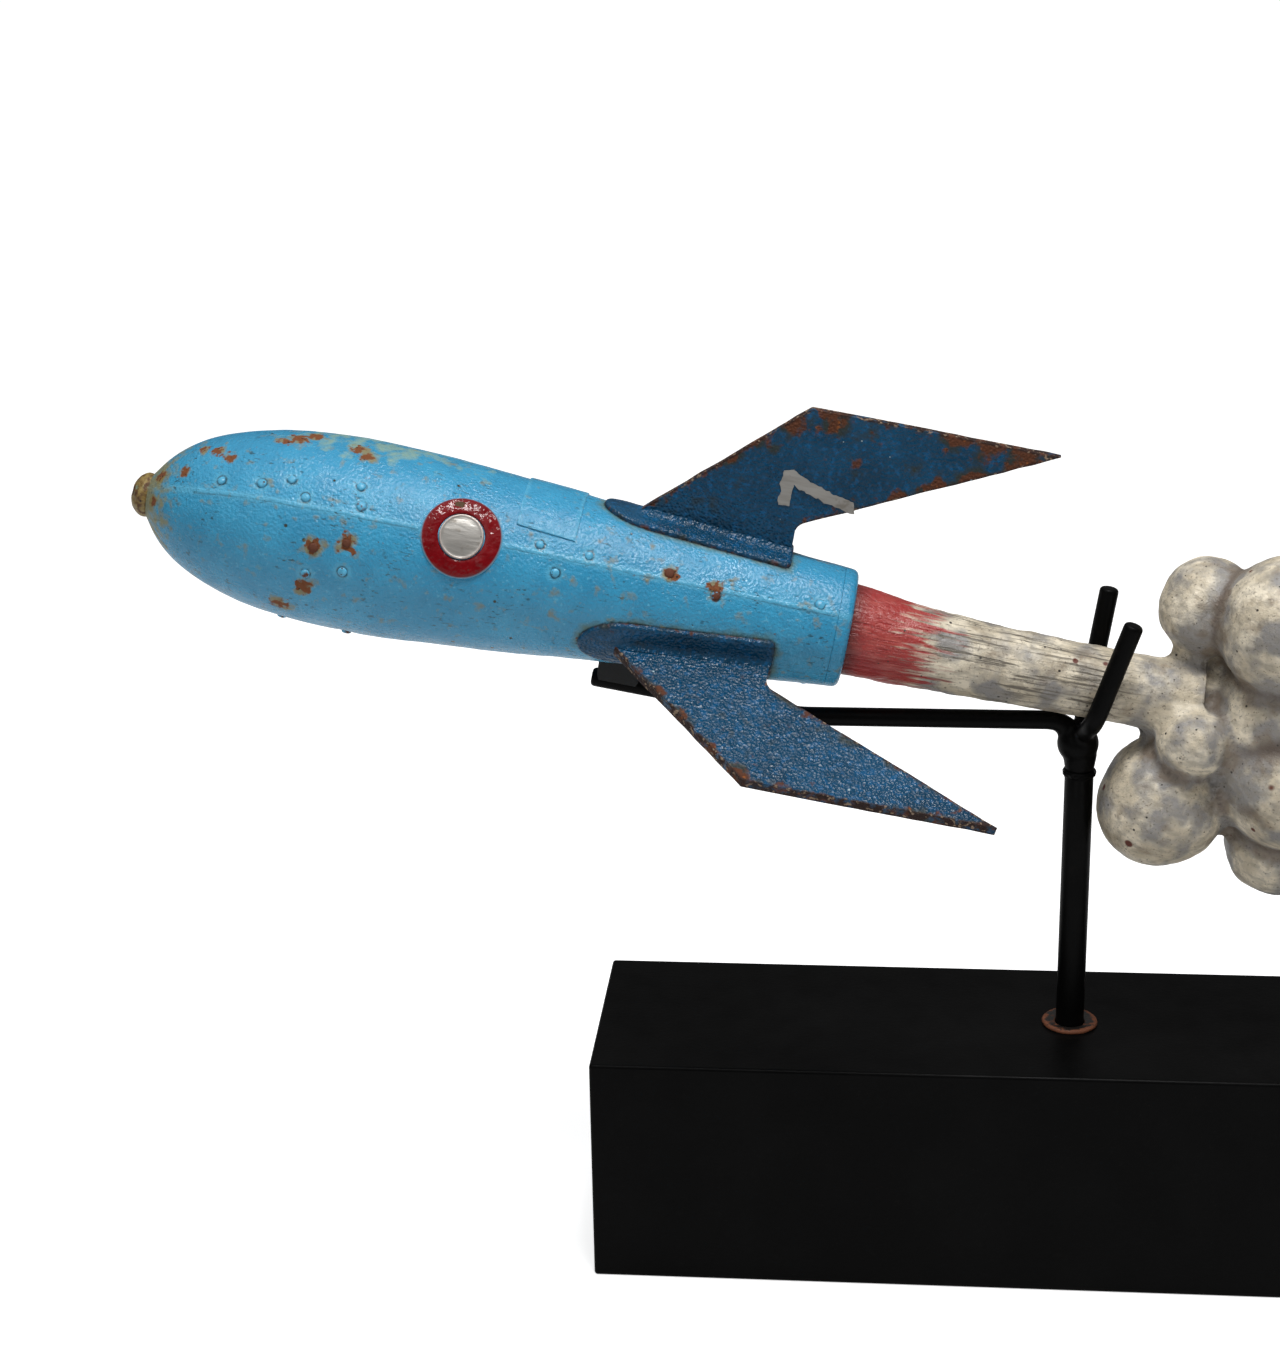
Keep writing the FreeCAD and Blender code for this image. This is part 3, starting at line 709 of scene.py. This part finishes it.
# ---- what marks the hull ----------------------------------------------------------------------
def nail_spots():
    """The station and angle of each nail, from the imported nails, which are islands of one node."""
    shape = bmesh.new()
    shape.from_mesh(nodes["seam_nails"].data)
    bmesh.ops.remove_doubles(shape, verts=shape.verts, dist=0.01 * MM)
    unseen = set(shape.verts)
    spots = []
    while unseen:
        island = [unseen.pop()]
        for corner in island:
            for other in (e.other_vert(corner) for e in corner.link_edges):
                if other in unseen:
                    unseen.remove(other)
                    island.append(other)
        corners = [TO_ROCKET @ v.co for v in island]
        outermost = max(reach(corners))
        head = [c for c, out in zip(corners, reach(corners)) if out > outermost - 0.3]
        top = sum(head, Vector()) / len(head)
        spots.append((round(top.x, 1), round(math.degrees(math.atan2(-top.y, top.z)) % 360, 1)))
    shape.free()
    return sorted(spots)


def tree_of(points):
    tree = kdtree.KDTree(len(points))
    for index, point in enumerate(points):
        tree.insert(point, index)
    tree.balance()
    return tree


# station, angle, reach of each rusted place
RUSTED = ((67, 9, 6), (73, 3, 5), (62, 13, 4), (92, 12, 5), (97, 18, 4.5), (30, 18, 3), (36, 24, 3.5),
          (42, 31, 3.5), (24, 43, 3), (13, 38, 4), (12, 80, 3), (11, 150, 4), (227, 56, 4),
          (245.5, 60.5, 4.5), (84, 82.5, 4.5), (97, 77, 5), (82, 109, 5), (72, 129, 5), (14, 250, 4),
          (40, 300, 4), (66, 205, 5), (96, 262, 5), (121, 290, 4), (152, 188, 6), (188, 268, 4),
          (226, 300, 4), (250, 190, 5), (118, 342, 4), (280, 240, 4), (205, 172, 4),
          (138.5, 40, 2.6))
RUST_SPREAD = 1.35
nails = nail_spots()
nail_tree = tree_of([on_hull(*spot) for spot in nails])
rust_tree = tree_of([on_hull(station, angle) for station, angle, _ in RUSTED])


def rustiness(point):
    """How near a point is to the middle of a rusted place, from 0 to 1."""
    return max([0.0] + [1 - away / (RUSTED[index][2] * RUST_SPREAD)
                        for _, index, away in rust_tree.find_n(point, 3)])


def rocket_angle(point):
    return math.degrees(math.atan2(-point.y, point.z)) % 360


def seam_distance(point):
    """How far a point on the hull is from the nearest seam's line, along the surface."""
    turn = min(abs((rocket_angle(point) - seam + 180) % 360 - 180) for seam in SEAM_ANGLES)
    return math.radians(turn) * math.hypot(point.y, point.z)


# ---- fittings' outlines, flat over the top line -----------------------------------------------
eye_corners = rocket_corners("porthole_ring_near")
EYE_STATION = (min(c.x for c in eye_corners) + max(c.x for c in eye_corners)) / 2
EYE_RADIUS = (max(c.x for c in eye_corners) - min(c.x for c in eye_corners)) / 2
DISC_RADIUS = 9.2
hatch_corners = rocket_corners("hatch_plate")
HATCH_START = min(c.x for c in hatch_corners)
HATCH_END = max(c.x for c in hatch_corners)
HATCH_HALF_ANGLE = max(abs(math.degrees(math.atan2(c.y, c.z))) for c in hatch_corners)
HATCH_RADIUS = hull_radius((HATCH_START + HATCH_END) / 2)
HATCH_HALF = math.radians(HATCH_HALF_ANGLE) * HATCH_RADIUS
shoe_corners = rocket_corners("fin_shoe_top")
SHOE_START = min(c.x for c in shoe_corners)
SHOE_END = max(c.x for c in shoe_corners)
SHOE_HALF = max(c.y for c in shoe_corners)
SHOE_CORNER = 3.0
SHOE_GRID = 1.6


def shoe_outline():
    """Bullet-fronted strip with a square rear, its corners a little round."""
    shoulder = 1.6 * SHOE_HALF
    half = [(SHOE_START + shoulder * (1 - math.cos(math.radians(a))), SHOE_HALF * math.sin(math.radians(a)))
            for a in range(0, 91, 9)]
    half += [(SHOE_END - SHOE_CORNER * (1 - math.sin(math.radians(a))),
              SHOE_HALF - SHOE_CORNER * (1 - math.cos(math.radians(a)))) for a in (0, 22, 45, 68, 90)]
    return half + [(x, -y) for x, y in reversed(half[1:])]


def hatch_outline():
    return [(HATCH_START, -HATCH_HALF), (HATCH_END, -HATCH_HALF), (HATCH_END, HATCH_HALF),
            (HATCH_START, HATCH_HALF)]


def outline_distance(outline):
    """A rule for how far a flat point is from an outline."""
    sides = [(Vector(a), Vector(b) - Vector(a)) for a, b in zip(outline, outline[1:] + outline[:1])]

    def rule(x, y):
        nearest = 1e9
        for start, side in sides:
            share = max(0.0, min(1.0, (Vector((x, y)) - start).dot(side) / side.length_squared))
            nearest = min(nearest, (start + side * share - Vector((x, y))).length)
        return nearest

    return rule


def walked(outline, step):
    """Points along a closed outline, a step apart."""
    points = []
    for a, b in zip(outline, outline[1:] + outline[:1]):
        count = max(1, int((Vector(b) - Vector(a)).length / step))
        points += [Vector(a).lerp(Vector(b), i / count) for i in range(count)]
    return points


def flat_to_hull(x, y, angle):
    """Where a point drawn flat over the top line lands on the hull."""
    radius = hull_radius(x)
    lean = math.asin(max(-1, min(1, y / radius)))
    return Matrix.Rotation(math.radians(angle), 3, "X") @ Vector((x, radius * math.sin(lean),
                                                                  radius * math.cos(lean)))


fitting_points = [flat_to_hull(*p, angle) for angle in FIN_ANGLES.values()
                  for p in walked(shoe_outline(), 1)]
fitting_tree = tree_of(fitting_points)


# ---- hull -------------------------------------------------------------------------------------
def dinted(co, _=None):
    """Where a point of the sheet ends up after the hammer, the nails and the seaming."""
    out = Vector((0, co.y, co.z)).normalized()
    nail_away = nail_tree.find(co)[2]
    height = 0.34 * noise.noise(co / 21) + 0.12 * noise.noise(co / 6.5)
    height -= 0.30 * math.exp(-(nail_away / 3.4) ** 2)
    height += 0.22 * math.exp(-(seam_distance(co) / 2.4) ** 2)
    return co + out * height


def nail_distance(point):
    return nail_tree.find(point)[2]


def fitting_distance(point):
    return fitting_tree.find(point)[2]


def note_wear(piece):
    """Notes how far each point of a hull piece is from what stains it."""
    note(piece, "nail", nail_distance)
    note(piece, "seam", seam_distance)
    note(piece, "fitting", fitting_distance)
    note(piece, "rust", rustiness)


def hull_panel(side, middle):
    """A third of the hull's sheet, dinted by hammer and nails and turned up along its seams."""
    stations = [sheet_start + (sheet_end - sheet_start) * i / 72 for i in range(73)]
    piece = turned([(s, 0, hull_radius(s)) for s in stations], 30, degrees=120)
    corners = [v.co for v in piece.data.vertices]
    where = rocket_angle(sum(corners, Vector()) / len(corners))
    piece.data.transform(Matrix.Rotation(math.radians(middle - where), 4, "X"))
    modify(piece, "SUBSURF", levels=2, render_levels=2, boundary_smooth="PRESERVE_CORNERS")
    move_vertices(piece, dinted)
    modify(piece, "SOLIDIFY", thickness=0.9, offset=-1)
    note_wear(piece)
    settle(piece, "hull_sheet_" + side, ROCKET, "rocket", sky_enamel,
           ["hull_panel_" + side])


BEAD_HALF = 1.15


def seam_bead(side, angle, runs):
    """Solder run along a seam: low, rounded, a little uneven, tapered at its ends."""
    pieces = []
    for start, end in runs:
        piece = flat_grid(start, end, 2 * BEAD_HALF, int((end - start) / 1.1), 7)

        def swollen(co, _):
            drift = 0.3 * noise.noise(Vector((co.x / 14, angle, 0)))
            size = 0.85 + 0.5 * noise.noise(Vector((co.x / 4, angle, 5)))
            taper = min(1.0, (co.x - start + 0.2) / 2, (end + 0.2 - co.x) / 2)
            crown = math.sqrt(max(0.0, 1 - (co.y / BEAD_HALF) ** 2))
            return Vector((co.x, co.y + drift, 0.52 * size * taper * crown))

        move_vertices(piece, swollen)
        lay_on_hull(piece, angle, wrapped=True)
        modify(piece, "SOLIDIFY", thickness=0.5, offset=-1)
        pieces.append(piece)
    piece = joined(pieces)
    note_wear(piece)
    settle(piece, "seam_bead_" + side, ROCKET, "rocket", sky_enamel, ["seam_" + side])


def nose_cap():
    """Spun cap: a blunt, slightly lumpy dome that runs straight on into the sheet."""
    piece = turned([(0, 0, 0), (0.1, 0, 1.8), (0.6, 0, 4.2), (1.7, 0, 6.4), (3.3, 0, 8.2), (4.9, 0, 9.1),
                    (6.2, 0, 9.2), (7.2, 0, 9.0), (7.8, 0, 8.8), (8.2, 0, 8.6), (10, 0, 8.2),
                    (10, 0, 0)], 40)
    smooth_subdivide(piece, 2)
    move_vertices(piece, lambda co, normal: co + normal * 0.35 * noise.noise(co / 3.4))
    settle(piece, "nose_cap_spun", ROCKET, "rocket", cap_paint, ["nose_cap"])


def tail_collar():
    """Rolled collar that closes the sheet at the tail."""
    bore = max(reach([c for c in rocket_corners("plume_stem") if c.x < tail])) + 0.2
    rim = hull_radius(tail - 2.2)
    piece = turned([(sheet_end, 0, bore), (sheet_end, 0, hull_radius(sheet_end)),
                    (tail - 4.2, 0, hull_radius(tail - 4.2)), (tail - 2.2, 0, rim),
                    (tail - 0.9, 0, rim - 0.7), (tail - 0.2, 0, rim - 1.9), (tail, 0, rim - 3.4),
                    (tail - 0.2, 0, bore + 0.6), (tail - 1.2, 0, bore), (sheet_end, 0, bore)], 72)
    modify(piece, "BEVEL", width=0.12, segments=1, limit_method="ANGLE", angle_limit=math.radians(60))
    smooth_subdivide(piece, 2)
    move_vertices(piece, dinted)
    note_wear(piece)
    settle(piece, "tail_collar_rolled", ROCKET, "rocket", sky_enamel, ["tail_collar"])


def hatch():
    """Rectangle of sheet bent over the top, with eased edges, under the same enamel."""
    piece = flat_grid(HATCH_START, HATCH_END, 2 * HATCH_HALF, 20, 60)
    modify(piece, "SOLIDIFY", thickness=1.3, offset=0)
    modify(piece, "BEVEL", width=0.3, segments=2, limit_method="ANGLE")
    edge = outline_distance(hatch_outline())
    # The hatch's own edges are noted as a seam so that the finish paints them pale: a painted highlight along the
    # raised edges.
    note(piece, "seam", lambda co: 0.6 + edge(co.x, co.y))
    lay_on_hull(piece, 0, wrapped=True)
    move_vertices(piece, dinted)
    for name, rule in (("nail", nail_distance), ("fitting", fitting_distance), ("rust", rustiness)):
        note(piece, name, rule)
    settle(piece, "hatch_cover", ROCKET, "rocket", sky_enamel, ["hatch_plate"])


# angle round the ring, distance from its middle, size, height
BLISTERS = ((38, 12.6, 1.7, 0.55), (62, 14.2, 1.2, 0.4), (112, 13.4, 1.5, -0.3), (205, 12.0, 1.3, 0.3),
            (318, 12.8, 1.9, 0.6), (295, 14.6, 1.2, 0.45), (340, 14.4, 1.1, 0.35))


def porthole(side, angle):
    """Red ring bent to the hull, lumpy with thick paint, and a silver disc with a raised lip."""
    inner = DISC_RADIUS + 0.15
    ring = turned([(inner, 0, -0.6), (inner, 0, 0.5), (inner + 0.45, 0, 0.95), (11.2, 0, 1.08),
                   (13.0, 0, 1.12), (14.8, 0, 1.04), (EYE_RADIUS - 0.7, 0, 0.86),
                   (EYE_RADIUS - 0.15, 0, 0.45), (EYE_RADIUS, 0, -0.1), (EYE_RADIUS, 0, -0.6),
                   (inner, 0, -0.6)], 90, "Z")
    smooth_subdivide(ring, 2)

    def blistered(co, _):
        lump = 0.10 * noise.noise(Vector((co.x / 3, co.y / 3, angle)))
        for turn, out, size, height in BLISTERS:
            middle = Vector((out * math.cos(math.radians(turn)), out * math.sin(math.radians(turn)), 0))
            away = Vector((co.x, co.y, 0)) - middle
            lump += height * math.exp(-(away.length / size) ** 2)
        return co + Vector((EYE_STATION, 0, lump if co.z > 0.3 else 0))

    move_vertices(ring, blistered)
    # Distance in from the ring's outer edge, read by the finish to paint a pale highlight there.
    note(ring, "rim", lambda co: EYE_RADIUS - math.hypot(co.x - EYE_STATION, co.y))
    lay_on_hull(ring, angle)
    note(ring, "rust", rustiness)
    settle(ring, "porthole_rim_" + side, ROCKET, "rocket", red_enamel,
           ["porthole_ring_" + side])
    disc = turned([(0, 0, 1.35), (4.5, 0, 1.32), (7.9, 0, 1.15), (8.2, 0, 1.45), (8.5, 0, 1.55),
                   (8.85, 0, 1.35), (9.05, 0, 0.8), (9.05, 0, -0.6), (0, 0, -0.6)], 64, "Z")
    smooth_subdivide(disc, 1)
    move_vertices(disc, lambda co, _: co + Vector((EYE_STATION, 0, 0.12 * noise.noise(co / 4))))
    # Marks the disc's lip, which the finish paints pale as a highlight.
    note(disc, "rim", lambda co: 1.0 if 8.0 < math.hypot(co.x - EYE_STATION, co.y) < 9.2 else 0.0)
    lay_on_hull(disc, angle)
    settle(disc, "porthole_glass_" + side, ROCKET, "rocket", silver_paint,
           ["porthole_disc_" + side])


def nail_heads():
    """One domed nail head, copied to every nail and leaned a little at random."""
    head = turned([(0, 0, -0.7), (1.8, 0, -0.7), (1.95, 0, 0.05), (1.75, 0, 0.5), (1.15, 0, 0.82),
                   (0, 0, 0.95)], 14, "Z")
    chance = random.Random(4)
    copies = []
    for station, angle in nails:
        copy = bpy.data.objects.new("nail", head.data.copy())
        bpy.context.scene.collection.objects.link(copy)
        slope = math.atan((hull_radius(station + 1) - hull_radius(station - 1)) / 2)
        lean = Matrix.Rotation(math.radians(chance.uniform(-7, 7)), 4, "X")
        size = Matrix.Scale(chance.uniform(0.85, 1.1), 4)
        copy.data.transform(Matrix.Rotation(math.radians(angle), 4, "X")
                            @ Matrix.Translation((station, 0, hull_radius(station) - 0.1))
                            @ Matrix.Rotation(-slope, 4, "Y") @ lean @ size)
        rust = max(rustiness(on_hull(station, angle)), 0.45 * chance.random())
        note(copy, "rust", lambda co: rust)
        copies.append(copy)
    bpy.data.objects.remove(head)
    settle(joined(copies), "nail_heads", ROCKET, "rocket", nail_paint, ["seam_nails"])


# ---- fins -------------------------------------------------------------------------------------
fin_corners = rocket_corners("fin_top")
FIN_TOP = max(c.z for c in fin_corners)
FIN_OUTER = min((c for c in fin_corners if c.z > FIN_TOP - 0.05), key=lambda c: c.x)
FIN_TIP = max(fin_corners, key=lambda c: c.x)
FIN_LEAD = min((c for c in fin_corners if c.z > hull_radius(c.x) + 1), key=lambda c: c.x)
FIN_REAR = max(c.x for c in fin_corners if c.z < hull_radius(c.x) + 4)
FIN_THICKNESS = 2 * max(c.y for c in fin_corners)
FIN_STEP = 13.5
FIN_FILLET = 6.0
FIN_GRID = 2.6   # between the lines that let the plate be beaten out of true
# station, height above the axis, reach of each rusted place
FIN_RUST = {"top": ((279, 84, 10), (265, 81, 7), (258, 70, 4), (241, 65, 7), (250, 72, 5), (296, 82, 4),
                    (291, 70, 4), (312, 73, 3.5), (328, 88, 8), (342, 87, 9), (357, 84, 12), (339, 73, 8),
                    (325, 67, 7), (311, 60, 5)),
            "near": ((231, 52, 3), (242, 62, 3), (255, 77, 4), (268, 86, 6), (276, 60, 2.5)),
            "far": ((270, 84, 8), (300, 80, 6), (345, 86, 9), (240, 60, 5), (318, 64, 5), (284, 52, 4))}


def fin_outline():
    """The exposed outline, from the foot of the leading edge round to the foot of the step."""
    step = Vector((FIN_REAR, hull_radius(FIN_REAR) + FIN_STEP))
    tip = Vector((FIN_TIP.x, FIN_TIP.z))
    to_tip = (tip - step).normalized()
    down = Vector((0, -1))
    half = to_tip.angle(down) / 2
    centre = step + (to_tip + down).normalized() * (FIN_FILLET / math.sin(half))
    first = step + to_tip * (FIN_FILLET / math.tan(half)) - centre
    last = step + down * (FIN_FILLET / math.tan(half)) - centre
    bend = [centre + first.slerp(last, i / 6).normalized() * FIN_FILLET for i in range(7)]
    sweep = (FIN_OUTER.x - FIN_LEAD.x) / (FIN_OUTER.z - FIN_LEAD.z)
    foot = Vector((FIN_LEAD.x - 1.6 * sweep, FIN_LEAD.z - 1.6))
    return [foot, Vector((FIN_OUTER.x, FIN_OUTER.z)), tip] + bend


def fin(side, angle):
    """Plate cut by hand: edges eased and slightly wavy, faces not quite flat."""
    exposed = fin_outline()
    foot, heel = exposed[0].x, FIN_REAR
    under = [Vector((x, hull_radius(x) + 0.5)) for x in (heel - (heel - foot) * i / 8 for i in range(9))]
    piece = flat_face([(p.x, 0, p.y) for p in exposed + under])
    rule_lines((1, 0, 0), [foot + FIN_GRID * i for i in range(1, 66)])
    rule_lines((0, 0, 1), [24 + FIN_GRID * i for i in range(26)])
    leave()
    modify(piece, "SOLIDIFY", thickness=FIN_THICKNESS, offset=0)
    modify(piece, "BEVEL", width=0.9, segments=3, limit_method="ANGLE")
    sides = outline_distance([tuple(p) for p in exposed])
    open_side = outline_distance([tuple(exposed[-1]), tuple(exposed[0])])

    def edge_distance(co):
        away = sides(co.x, co.z)
        return away if open_side(co.x, co.z) > away + 0.01 else 15.0

    def handmade(co, _):
        near_edge = math.exp(-(sides(co.x, co.z) / 3) ** 2)
        wander = Vector((noise.noise(co / 7), 0, noise.noise(co / 7 + Vector((9, 0, 0))))) * 0.3 * near_edge
        moved = co + wander + Vector((0, 0.5 * noise.noise(Vector((co.x, angle, co.z)) / 70), 0))
        moved.z = min(moved.z, FIN_TOP - 0.35)
        return moved

    move_vertices(piece, handmade)
    note(piece, "edge", edge_distance)
    note(piece, "rust", lambda co: max(
        [0.0] + [1 - math.hypot(co.x - x, co.z - z) / size for x, z, size in FIN_RUST[side]]))
    piece.data.transform(Matrix.Rotation(math.radians(angle), 4, "X"))
    settle(piece, "fin_plate_" + side, ROCKET, "rocket", deep_enamel, ["fin_" + side])


def fin_shoe(side, angle):
    """Foot strip under a fin: rolled edge, and a fillet up to the plate."""
    outline = shoe_outline()
    piece = flat_face([(x, y, 0) for x, y in outline])
    for width in (0.2, 0.3, 0.5):
        bpy.ops.mesh.inset(thickness=width)
    rule_lines((1, 0, 0), [SHOE_START + SHOE_GRID * i for i in range(1, 50)])
    rule_lines((0, 1, 0), [y * way for y in (2.3, 2.8, 3.4, 4.2, 5.2, 6.6, 8.2, 9.6) for way in (-1, 1)])
    leave()
    to_edge = outline_distance(outline)
    heel = FIN_LEAD.x - 3

    def formed(co, _):
        edge = min(1.0, to_edge(co.x, co.y) / 1.1)
        height = 1.75 * math.sqrt(max(0.0, 1 - (1 - edge) ** 2))
        climb = max(0.0, min(1.0, (co.x - heel) / 9))
        height += climb * 2.6 * max(0.0, 1 - max(0.0, abs(co.y) - 2.0) / 3.0) ** 2
        height += 0.15 * noise.noise(co / 5 + Vector((0, 0, angle)))
        return Vector((co.x, co.y, height))

    move_vertices(piece, formed)
    note(piece, "edge", lambda co: 0.7 + 2.2 * to_edge(co.x, co.y))
    modify(piece, "SOLIDIFY", thickness=2.2, offset=-1)
    lay_on_hull(piece, angle)
    settle(piece, "fin_foot_" + side, ROCKET, "rocket", deep_enamel, ["fin_shoe_" + side])


def fin_numeral():
    """A plain 7 in brushed aluminium paint on the top fin, upright when the nose points up."""
    right, down = 47.0, 263.0   # where its box starts: height over the axis, and station
    grid = 1.1
    strokes = ((0.4, 0.3), (15.6, 0.0), (16.0, 4.4), (11.2, 15.0), (7.0, 30.8), (2.2, 31.6), (5.6, 17.5),
               (9.6, 5.4), (0.8, 5.6))
    piece = flat_face([(down + v, 0, right + u) for u, v in strokes])
    rule_lines((1, 0, 0), [down + grid * i for i in range(1, 30)])
    rule_lines((0, 0, 1), [right + grid * i for i in range(1, 16)])
    leave()
    edge = outline_distance([(down + v, right + u) for u, v in strokes])

    def brushed(co, _):
        shake = math.exp(-(edge(co.x, co.z) / 0.8) ** 2)
        return co + Vector((noise.noise(co / 2.3), 0, noise.noise(co / 2.3 + Vector((5, 5, 5))))) * shake

    move_vertices(piece, brushed)
    modify(piece, "SOLIDIFY", thickness=0.5, offset=0)
    modify(piece, "BEVEL", width=0.12, segments=1, limit_method="ANGLE")

    def against_plate(co, _):
        bow = 0.5 * noise.noise(Vector((co.x, 0, co.z)) / 70)
        return co + Vector((0, bow - FIN_THICKNESS / 2 - 0.05, 0))

    move_vertices(piece, against_plate)
    note(piece, "rim", lambda co: 0.0)
    settle(piece, "fin_numeral", ROCKET, "rocket", silver_paint)


# ---- plume ------------------------------------------------------------------------------------
def stem_at(station):
    """The stem's middle height and radius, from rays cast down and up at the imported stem."""
    heights = []
    for way in (1, -1):
        start = ROCKET @ Vector((station, 0, 60 * way))
        aim = turned_axes.to_3x3() @ Vector((0, 0, -way))
        place = nodes["plume_stem"].ray_cast(start, aim)[1]
        heights.append((TO_ROCKET @ place).z)
    return sum(heights) / 2, (heights[0] - heights[1]) / 2


def plume():
    """Stem and smoke carved from one piece: swollen balls are fused, then drawn in again, which
    leaves the gouge's small hollow fillet wherever two meet."""
    swell = 2.4
    end = fork_station + 50
    stations = [sheet_end + 3 + (end - sheet_end - 3) * i / 24 for i in range(25)]
    shape = [stem_at(s) for s in stations]
    piece = turned([(stations[0], 0, 0)] + [(s, 0, size + swell) for s, (_, size) in zip(stations, shape)]
                   + [(end, 0, 0)], 48)
    table = list(zip(stations, shape))

    def dropped(co, _):
        index = min(range(len(table)), key=lambda i: abs(table[i][0] - co.x))
        return co + Vector((0, 0, table[index][1][0]))

    move_vertices(piece, dropped)
    pieces = [piece]
    balls = [(Vector((fork_station + a, -side, height)), radius) for a, height, side, radius in SMOKE_BALLS]
    for middle, radius in balls:
        bpy.ops.object.select_all(action="DESELECT")
        bpy.ops.mesh.primitive_ico_sphere_add(subdivisions=4, radius=radius + swell, location=middle)
        ball = bpy.context.object
        bpy.ops.object.transform_apply(location=True, rotation=True, scale=True)
        move_vertices(ball, lambda co, normal: co + normal * 1.5 * noise.noise(co / 26))
        pieces.append(ball)
    piece = joined(pieces)
    modify(piece, "REMESH", mode="VOXEL", voxel_size=1.3)
    modify(piece, "DISPLACE", strength=-swell, mid_level=0)
    modify(piece, "SMOOTH", factor=0.5, iterations=4)

    def carved(co, normal):
        """The gouge's marks, coarse and fine."""
        tool = 0.45 * noise.noise(co / 8) + 0.22 * noise.noise(co / 3.2)
        return co + normal * tool

    move_vertices(piece, carved)

    def crease(co):
        """How far a point is from the second nearest ball, small where two balls meet."""
        away = sorted(abs((co - middle).length - radius) for middle, radius in balls)
        return away[1]

    # Read by the finish for the wash and the painted shade in the creases.
    note(piece, "crease", crease)
    carved_from = ["plume_stem", "cloud_core"] + [n for n in sorted(nodes) if n.startswith("smoke_puff")]
    settle(piece, "smoke_plume", ROCKET, "rocket", smoke_paint, carved_from,
           crease=180)


# ---- stand ------------------------------------------------------------------------------------
def merged_copy(node):
    """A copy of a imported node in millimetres, its loose triangles merged."""
    piece = bpy.data.objects.new(node + "_copy", nodes[node].data.copy())
    bpy.context.scene.collection.objects.link(piece)
    piece.data.transform(FROM_MM.inverted())
    edit(piece)
    bpy.ops.mesh.select_all(action="SELECT")
    bpy.ops.mesh.remove_doubles(threshold=0.01)
    leave()
    return piece


def fork():
    """Arm and prongs welded into one: swollen, fused and drawn in again, so that each joint fills."""
    flare = 1.5
    parts = ["arm_rod", "prong_near", "prong_far", "elbow_weld"]
    pieces = [merged_copy(node) for node in parts]
    for piece in pieces:
        modify(piece, "DISPLACE", strength=flare, mid_level=0)
    piece = joined(pieces)
    modify(piece, "REMESH", mode="VOXEL", voxel_size=0.7)
    modify(piece, "DISPLACE", strength=-flare, mid_level=0)
    modify(piece, "SMOOTH", factor=0.5, iterations=5)
    settle(piece, "welded_fork", FROM_MM, "stand", stand_black, parts, crease=180)


def post():
    """Post with a weld bead round its top."""
    low, high = (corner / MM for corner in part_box("post"))
    radius, foot, top = high.x, low.z, high.z
    piece = turned([(0, 0, foot), (radius - 0.5, 0, foot), (radius, 0, foot + 0.5), (radius, 0, foot + 40),
                    (radius, 0, top - 30), (radius, 0, top - 4), (radius + 0.15, 0, top - 3.0),
                    (radius + 0.9, 0, top - 2.0), (radius + 1.0, 0, top - 1.0),
                    (radius + 0.4, 0, top), (0, 0, top)], 64, "Z")
    modify(piece, "SUBSURF", levels=1, render_levels=1, subdivision_type="SIMPLE")

    def beaded(co, _):
        out = Vector((co.x, co.y, 0))
        if co.z < top - 3.5 or out.length < radius:
            return co
        return co + out.normalized() * 0.5 * noise.noise(co / 2)

    move_vertices(piece, beaded)
    settle(piece, "stand_post", FROM_MM, "stand", stand_black, ["post"])


def ferrule():
    """Iron washer, dished, with a rolled rim."""
    low, high = (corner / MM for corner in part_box("post_ferrule"))
    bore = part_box("post")[1].x / MM + 0.1
    rim, foot, top = high.x, low.z, high.z
    piece = turned([(bore, 0, foot), (rim, 0, foot), (rim, 0, foot + 0.7), (rim - 0.5, 0, top - 0.2),
                    (rim - 1.4, 0, top), (rim - 2.4, 0, top - 0.25), (rim - 3.4, 0, top - 0.6),
                    (bore, 0, top - 0.7), (bore, 0, foot)], 64, "Z")
    smooth_subdivide(piece, 1)
    move_vertices(piece, lambda co, _: co + Vector((0, 0, 0.12 * noise.noise(co / 4))))
    note(piece, "edge", lambda co: rim - math.hypot(co.x, co.y))
    settle(piece, "foot_washer", FROM_MM, "base", ferrule_iron, ["post_ferrule"])


# ---- making -----------------------------------------------------------------------------------
bead_start = min(c.x for c in rocket_corners("seam_belly"))
whole_run = [(bead_start, sheet_end)]
broken_run = [(bead_start, EYE_STATION - EYE_RADIUS + 0.5), (EYE_STATION + EYE_RADIUS - 0.5, sheet_end)]
for side, middle in FIN_ANGLES.items():
    hull_panel(side, middle)
    fin(side, middle)
    fin_shoe(side, middle)
for side, angle, runs in (("near", 60, broken_run), ("belly", 180, whole_run), ("far", 300, broken_run)):
    seam_bead(side, angle, runs)
for side, angle in (("near", 60), ("far", 300)):
    porthole(side, angle)
hatch()
nose_cap()
tail_collar()
nail_heads()
fin_numeral()
plume()
fork()
post()
ferrule()

# ---- floor ------------------------------------------------------------------------------------
bpy.ops.object.select_all(action="DESELECT")
bpy.ops.mesh.primitive_plane_add(size=12)
floor = bpy.context.object
floor.name = "floor"
floor.data.materials.append(floor_paper)
